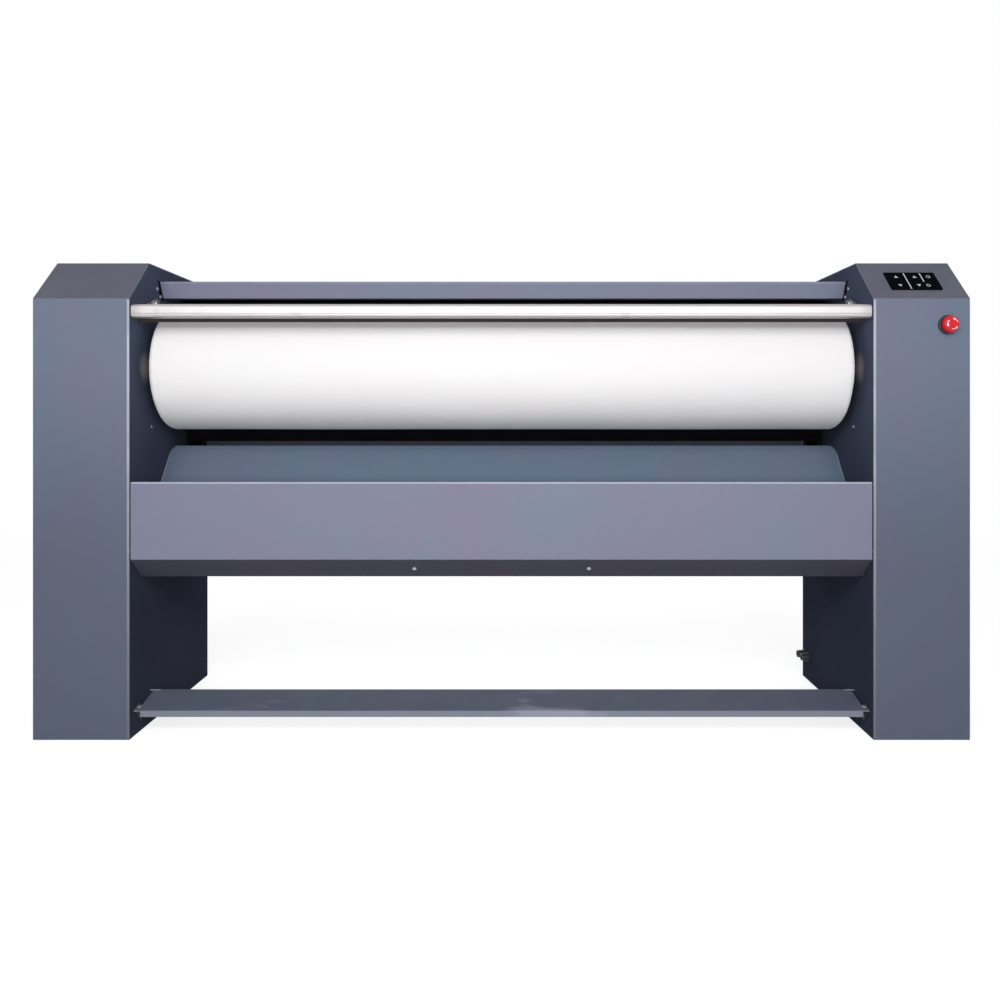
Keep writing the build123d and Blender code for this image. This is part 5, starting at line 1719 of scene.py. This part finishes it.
@dataclass
class KeyPad(SubAssembly):
    """The key pad on the right facet: film, board, six keys, their signs and the dividers."""

    origin: tuple[float, float, float] = (0.952, FRONT_Y, 1.002)
    key_top: float = 0.0026
    film_top: float = 0.0024
    ink: float = 0.00012
    sunk: float = 0.0004
    mark_half: float = 0.0042
    triangle_share: float = 1.15
    ring_half: float = 0.0008
    keys: tuple[tuple[str, Mark, float, float], ...] = (
        ("key_1", Mark.UP, -0.0345, 0.080),
        ("key_2", Mark.UP, 0.0085, 0.080),
        ("key_3", Mark.RING, 0.0405, 0.080),
        ("key_4", Mark.DOWN, -0.0345, 0.046),
        ("key_5", Mark.DOWN, 0.0085, 0.046),
        ("key_6", Mark.RING, 0.0295, 0.046),
    )
    dividers: tuple[tuple[float, float, float], ...] = (
        (-0.0130, 0.0345, 0.0935),
        (0.0245, 0.0600, 0.0935),
    )
    divider_half: float = 0.0013

    def finishes(self) -> dict[str, Finish]:
        """Black film on the bezel and the keys, a green board behind them."""
        dressed: dict[str, Finish] = {name: KEY_FILM for name, *_ in self.keys}
        return dressed | {"keypad_bezel": KEY_FILM, "keypad_board": BOARD_GREEN}

    def raised(self, u: Array, v: Array, height: float, wrap: bool) -> Shell:
        """A thin plate on the pad's plane.

        A point is origin + u * X + v * (0, 1, 1) / root 2 + height * (0, -1, 1) / root 2.

        Args:
            u: Places across the pad, as rows by columns.
            v: Places up the pad, as rows by columns.
            height: Height of the plate's top above the pad's plane.
            wrap: Whether the plate is a ring.

        Returns:
            The closed shell.
        """
        across = np.array([1.0, 0.0, 0.0])
        up = np.array([0.0, 1.0, 1.0]) / math.sqrt(2)
        out = np.array([0.0, -1.0, 1.0]) / math.sqrt(2)
        flat = np.array(self.origin) + u[..., None] * across + v[..., None] * up
        return slab(flat + height * out, flat + (height - self.sunk) * out, wrap)

    def sign(self, mark: Mark, u: float, v: float) -> Shell:
        """A key's sign: a triangle whose half width falls evenly to its tip, or a ring.

        Args:
            mark: Which sign it is.
            u: The key's middle across the pad.
            v: The key's middle up the pad.

        Returns:
            The closed shell.
        """
        top = self.key_top + self.ink
        if mark is Mark.RING:
            angle = np.linspace(0, TURN, 48, endpoint=False)[None, :]
            radius = self.mark_half + self.ring_half * np.array([[-1.0], [1.0]])
            return self.raised(u + radius * np.cos(angle), v + radius * np.sin(angle), top, True)
        rise = 1.0 if mark is Mark.UP else -1.0
        share = np.linspace(0, 1, 6)[:, None]
        base = self.mark_half * self.triangle_share
        half = base * (1 - share) * np.array([[-1.0, 0.0, 1.0]])
        rising = rise * self.mark_half * (2 * share - 1) + 0 * half
        return self.raised(u + half, v + rising, top, False)

    def lines(self) -> Shell:
        """The dividers between the keys' columns, two narrow strips."""
        strips = []
        for u, low, high in self.dividers:
            across = u + self.divider_half * np.array([[-1.0, 1.0]]) + np.zeros((2, 1))
            up = np.array([[low], [high]]) + np.zeros((1, 2))
            strips.append(self.raised(across, up, self.film_top + self.ink, False))
        return joined(strips)

    def pieces(self) -> list[NewPiece]:
        """A sign riding on each key, and the dividers on the bezel."""
        signs = [
            NewPiece(f"{name}_sign", self.sign(mark, u, v), KEY_INK, name, "keypad_film")
            for name, mark, u, v in self.keys
        ]
        return signs + [
            NewPiece("keypad_dividers", self.lines(), KEY_INK, "cabinet", "keypad_film")
        ]


@dataclass
class Drive(SubAssembly):
    """The geared motor and its sprocket in the right column."""

    def finishes(self) -> dict[str, Finish]:
        """Cast gearbox, enamelled motor, plated bracket, turned shaft, oiled sprocket."""
        return {
            "motor_bracket": FRAME_STEEL,
            "gearbox": GEARBOX_METAL,
            "motor": MOTOR_PAINT,
            "output_shaft": DRUM_STEEL,
            "motor_sprocket": CHAIN_STEEL,
        }


@dataclass
class Electrics(SubAssembly):
    """The control box, the heaters' terminal box and the cable glands."""

    def finishes(self) -> dict[str, Finish]:
        """Grey boxes and black glands."""
        return {
            "control_box": BOX_PLASTIC,
            "heater_box": BOX_PLASTIC,
            "cable_glands": BLACK_PLASTIC,
        }


# ---------------------------------------------------------------------------------------------
# Studio
# ---------------------------------------------------------------------------------------------


def cleared(owner: bpy.types.World | bpy.types.Material) -> Wiring:
    """The wiring of a world or a material, with its nodes taken out."""
    owner.use_nodes = True
    owner.node_tree.nodes.clear()
    return Wiring(owner.node_tree)


@dataclass(frozen=True)
class SoftBox:
    """A rectangular lamp, aimed at a point."""

    name: str
    place: tuple[float, float, float]
    target: tuple[float, float, float]
    size: tuple[float, float]
    power: float

    def put(self) -> None:
        """Makes the lamp and turns its face to the target."""
        lamp = bpy.data.lights.new(self.name, "AREA")
        lamp.shape = "RECTANGLE"
        lamp.size, lamp.size_y = self.size
        lamp.energy = self.power
        made = link(self.name, lamp)
        made.location = self.place
        aim = Vector(self.target) - Vector(self.place)
        made.rotation_euler = aim.to_track_quat("-Z", "Y").to_euler()


@dataclass
class Studio:
    """Camera, lamps, world and the pale floor."""

    eye: tuple[float, float, float] = (0.042, FRONT_Y - 1.835, 0.7335)
    lens: float = 29.2
    sensor: float = 36.0
    shift: tuple[float, float] = (-0.020, -0.083)
    ambient: float = 0.15
    floor_half: float = 40.0
    floor_colour: Colour = (0.80, 0.80, 0.80)
    floor_glow: float = 0.7
    floor_lift: float = 0.68
    floor_fade: tuple[float, float] = (1.6, 4.5)
    lamps: tuple[SoftBox, ...] = (
        SoftBox("key_softbox", (-0.2, -3.0, 2.6), (0.0, 0.0, 0.8), (3.0, 0.7), 26.0),
        SoftBox("front_softbox", (0.0, -2.0, 1.35), (0.0, 0.0, 1.0), (3.2, 0.5), 19.0),
        SoftBox("low_softbox", (0.0, -2.4, 0.7), (0.0, 0.0, 0.95), (2.6, 0.4), 20.0),
        SoftBox("back_softbox", (0.0, 3.2, 2.2), (0.0, 0.4, 0.3), (3.6, 1.2), 40.0),
    )

    def camera(self) -> None:
        """A level camera in front of the machine, shifted to the picture's framing."""
        data = bpy.data.cameras.new("camera")
        data.lens = self.lens
        data.sensor_width = self.sensor
        data.shift_x, data.shift_y = self.shift
        made = link("camera", data)
        made.location = self.eye
        made.rotation_euler = (math.radians(90), 0.0, 0.0)
        bpy.context.scene.camera = made

    def seen(self, wiring: Wiring) -> Socket:
        """1 for rays from the camera or through gloss and glass, 0 for light on a surface."""
        path = wiring.node("ShaderNodeLightPath").outputs
        shiny = wiring.math("MAXIMUM", path["Is Glossy Ray"], path["Is Transmission Ray"])
        return wiring.math("MAXIMUM", path["Is Camera Ray"], shiny)

    def world(self) -> None:
        """A white background that lights the object at the ambient level."""
        made = bpy.data.worlds.new("studio")
        wiring = cleared(made)
        back = wiring.node("ShaderNodeBackground")
        back.inputs["Color"].default_value = (1.0, 1.0, 1.0, 1.0)
        strength = wiring.spread(self.seen(wiring), 0.0, 1.0, (self.ambient, 1.0))
        wiring.feed(back.inputs["Strength"], strength)
        wiring.feed(wiring.node("ShaderNodeOutputWorld").inputs["Surface"], back.outputs[0])
        bpy.context.scene.world = made

    def floor(self) -> None:
        """A large square under the object, painted white."""
        half = self.floor_half
        mesh = bpy.data.meshes.new("floor")
        corners = [(-half, -half, 0.0), (half, -half, 0.0), (half, half, 0.0), (-half, half, 0.0)]
        mesh.from_pydata(corners, [], [(0, 1, 2, 3)])
        made = link("floor", mesh)
        mesh.materials.append(self.floor_paint())

    def floor_paint(self) -> bpy.types.Material:
        """Matt white that keeps the object's shadow and fades into the background.

        Seen directly, the floor is its own colour and a little of its own light, and from
        floor_fade outwards it goes over to the background's white. For light that falls on
        the object it is plain matt and dimmed to floor_glow.

        Returns:
            The material.
        """
        paint = bpy.data.materials.new("floor_paint")
        wiring = cleared(paint)
        matt = wiring.node("ShaderNodeBsdfDiffuse")
        white = wiring.node("ShaderNodeEmission")
        seen = self.seen(wiring)
        dim = shade(self.floor_colour, self.floor_glow)
        wiring.feed(matt.inputs["Color"], wiring.blend(seen, dim, self.floor_colour))
        far = wiring.spread(wiring.length(wiring.place()), *self.floor_fade)
        lift = wiring.node("ShaderNodeEmission")
        wiring.feed(lift.inputs["Strength"], wiring.times(seen, self.floor_lift))
        near = wiring.node("ShaderNodeAddShader")
        wiring.feed(near.inputs[0], matt.outputs[0])
        wiring.feed(near.inputs[1], lift.outputs[0])
        both = wiring.node("ShaderNodeMixShader")
        wiring.feed(both.inputs[0], wiring.times(far, seen))
        wiring.feed(both.inputs[1], near.outputs[0])
        wiring.feed(both.inputs[2], white.outputs[0])
        wiring.feed(wiring.node("ShaderNodeOutputMaterial").inputs["Surface"], both.outputs[0])
        return paint

    def build(self) -> None:
        """Makes the camera, the world, the floor and the lamps, and sets the plain view."""
        self.camera()
        self.world()
        self.floor()
        for lamp in self.lamps:
            lamp.put()
        bpy.context.scene.view_settings.view_transform = "Standard"


def main() -> None:
    """Builds the studio and every sub-assembly."""
    logging.basicConfig(level=logging.INFO, format="%(message)s")
    Studio().build()
    groups: list[SubAssembly] = [
        Columns(),
        Panels(),
        HighlightStrips(),
        Fasteners(),
        PaddedRoll(),
        HeatedShoe(),
        Treadle(),
        FingerGuard(),
        StopButton(),
        KeyPad(),
        Drive(),
        Electrics(),
    ]
    for group in groups:
        LOG.info("building %s", type(group).__name__)
        group.build()


if __name__ == "__main__":
    main()
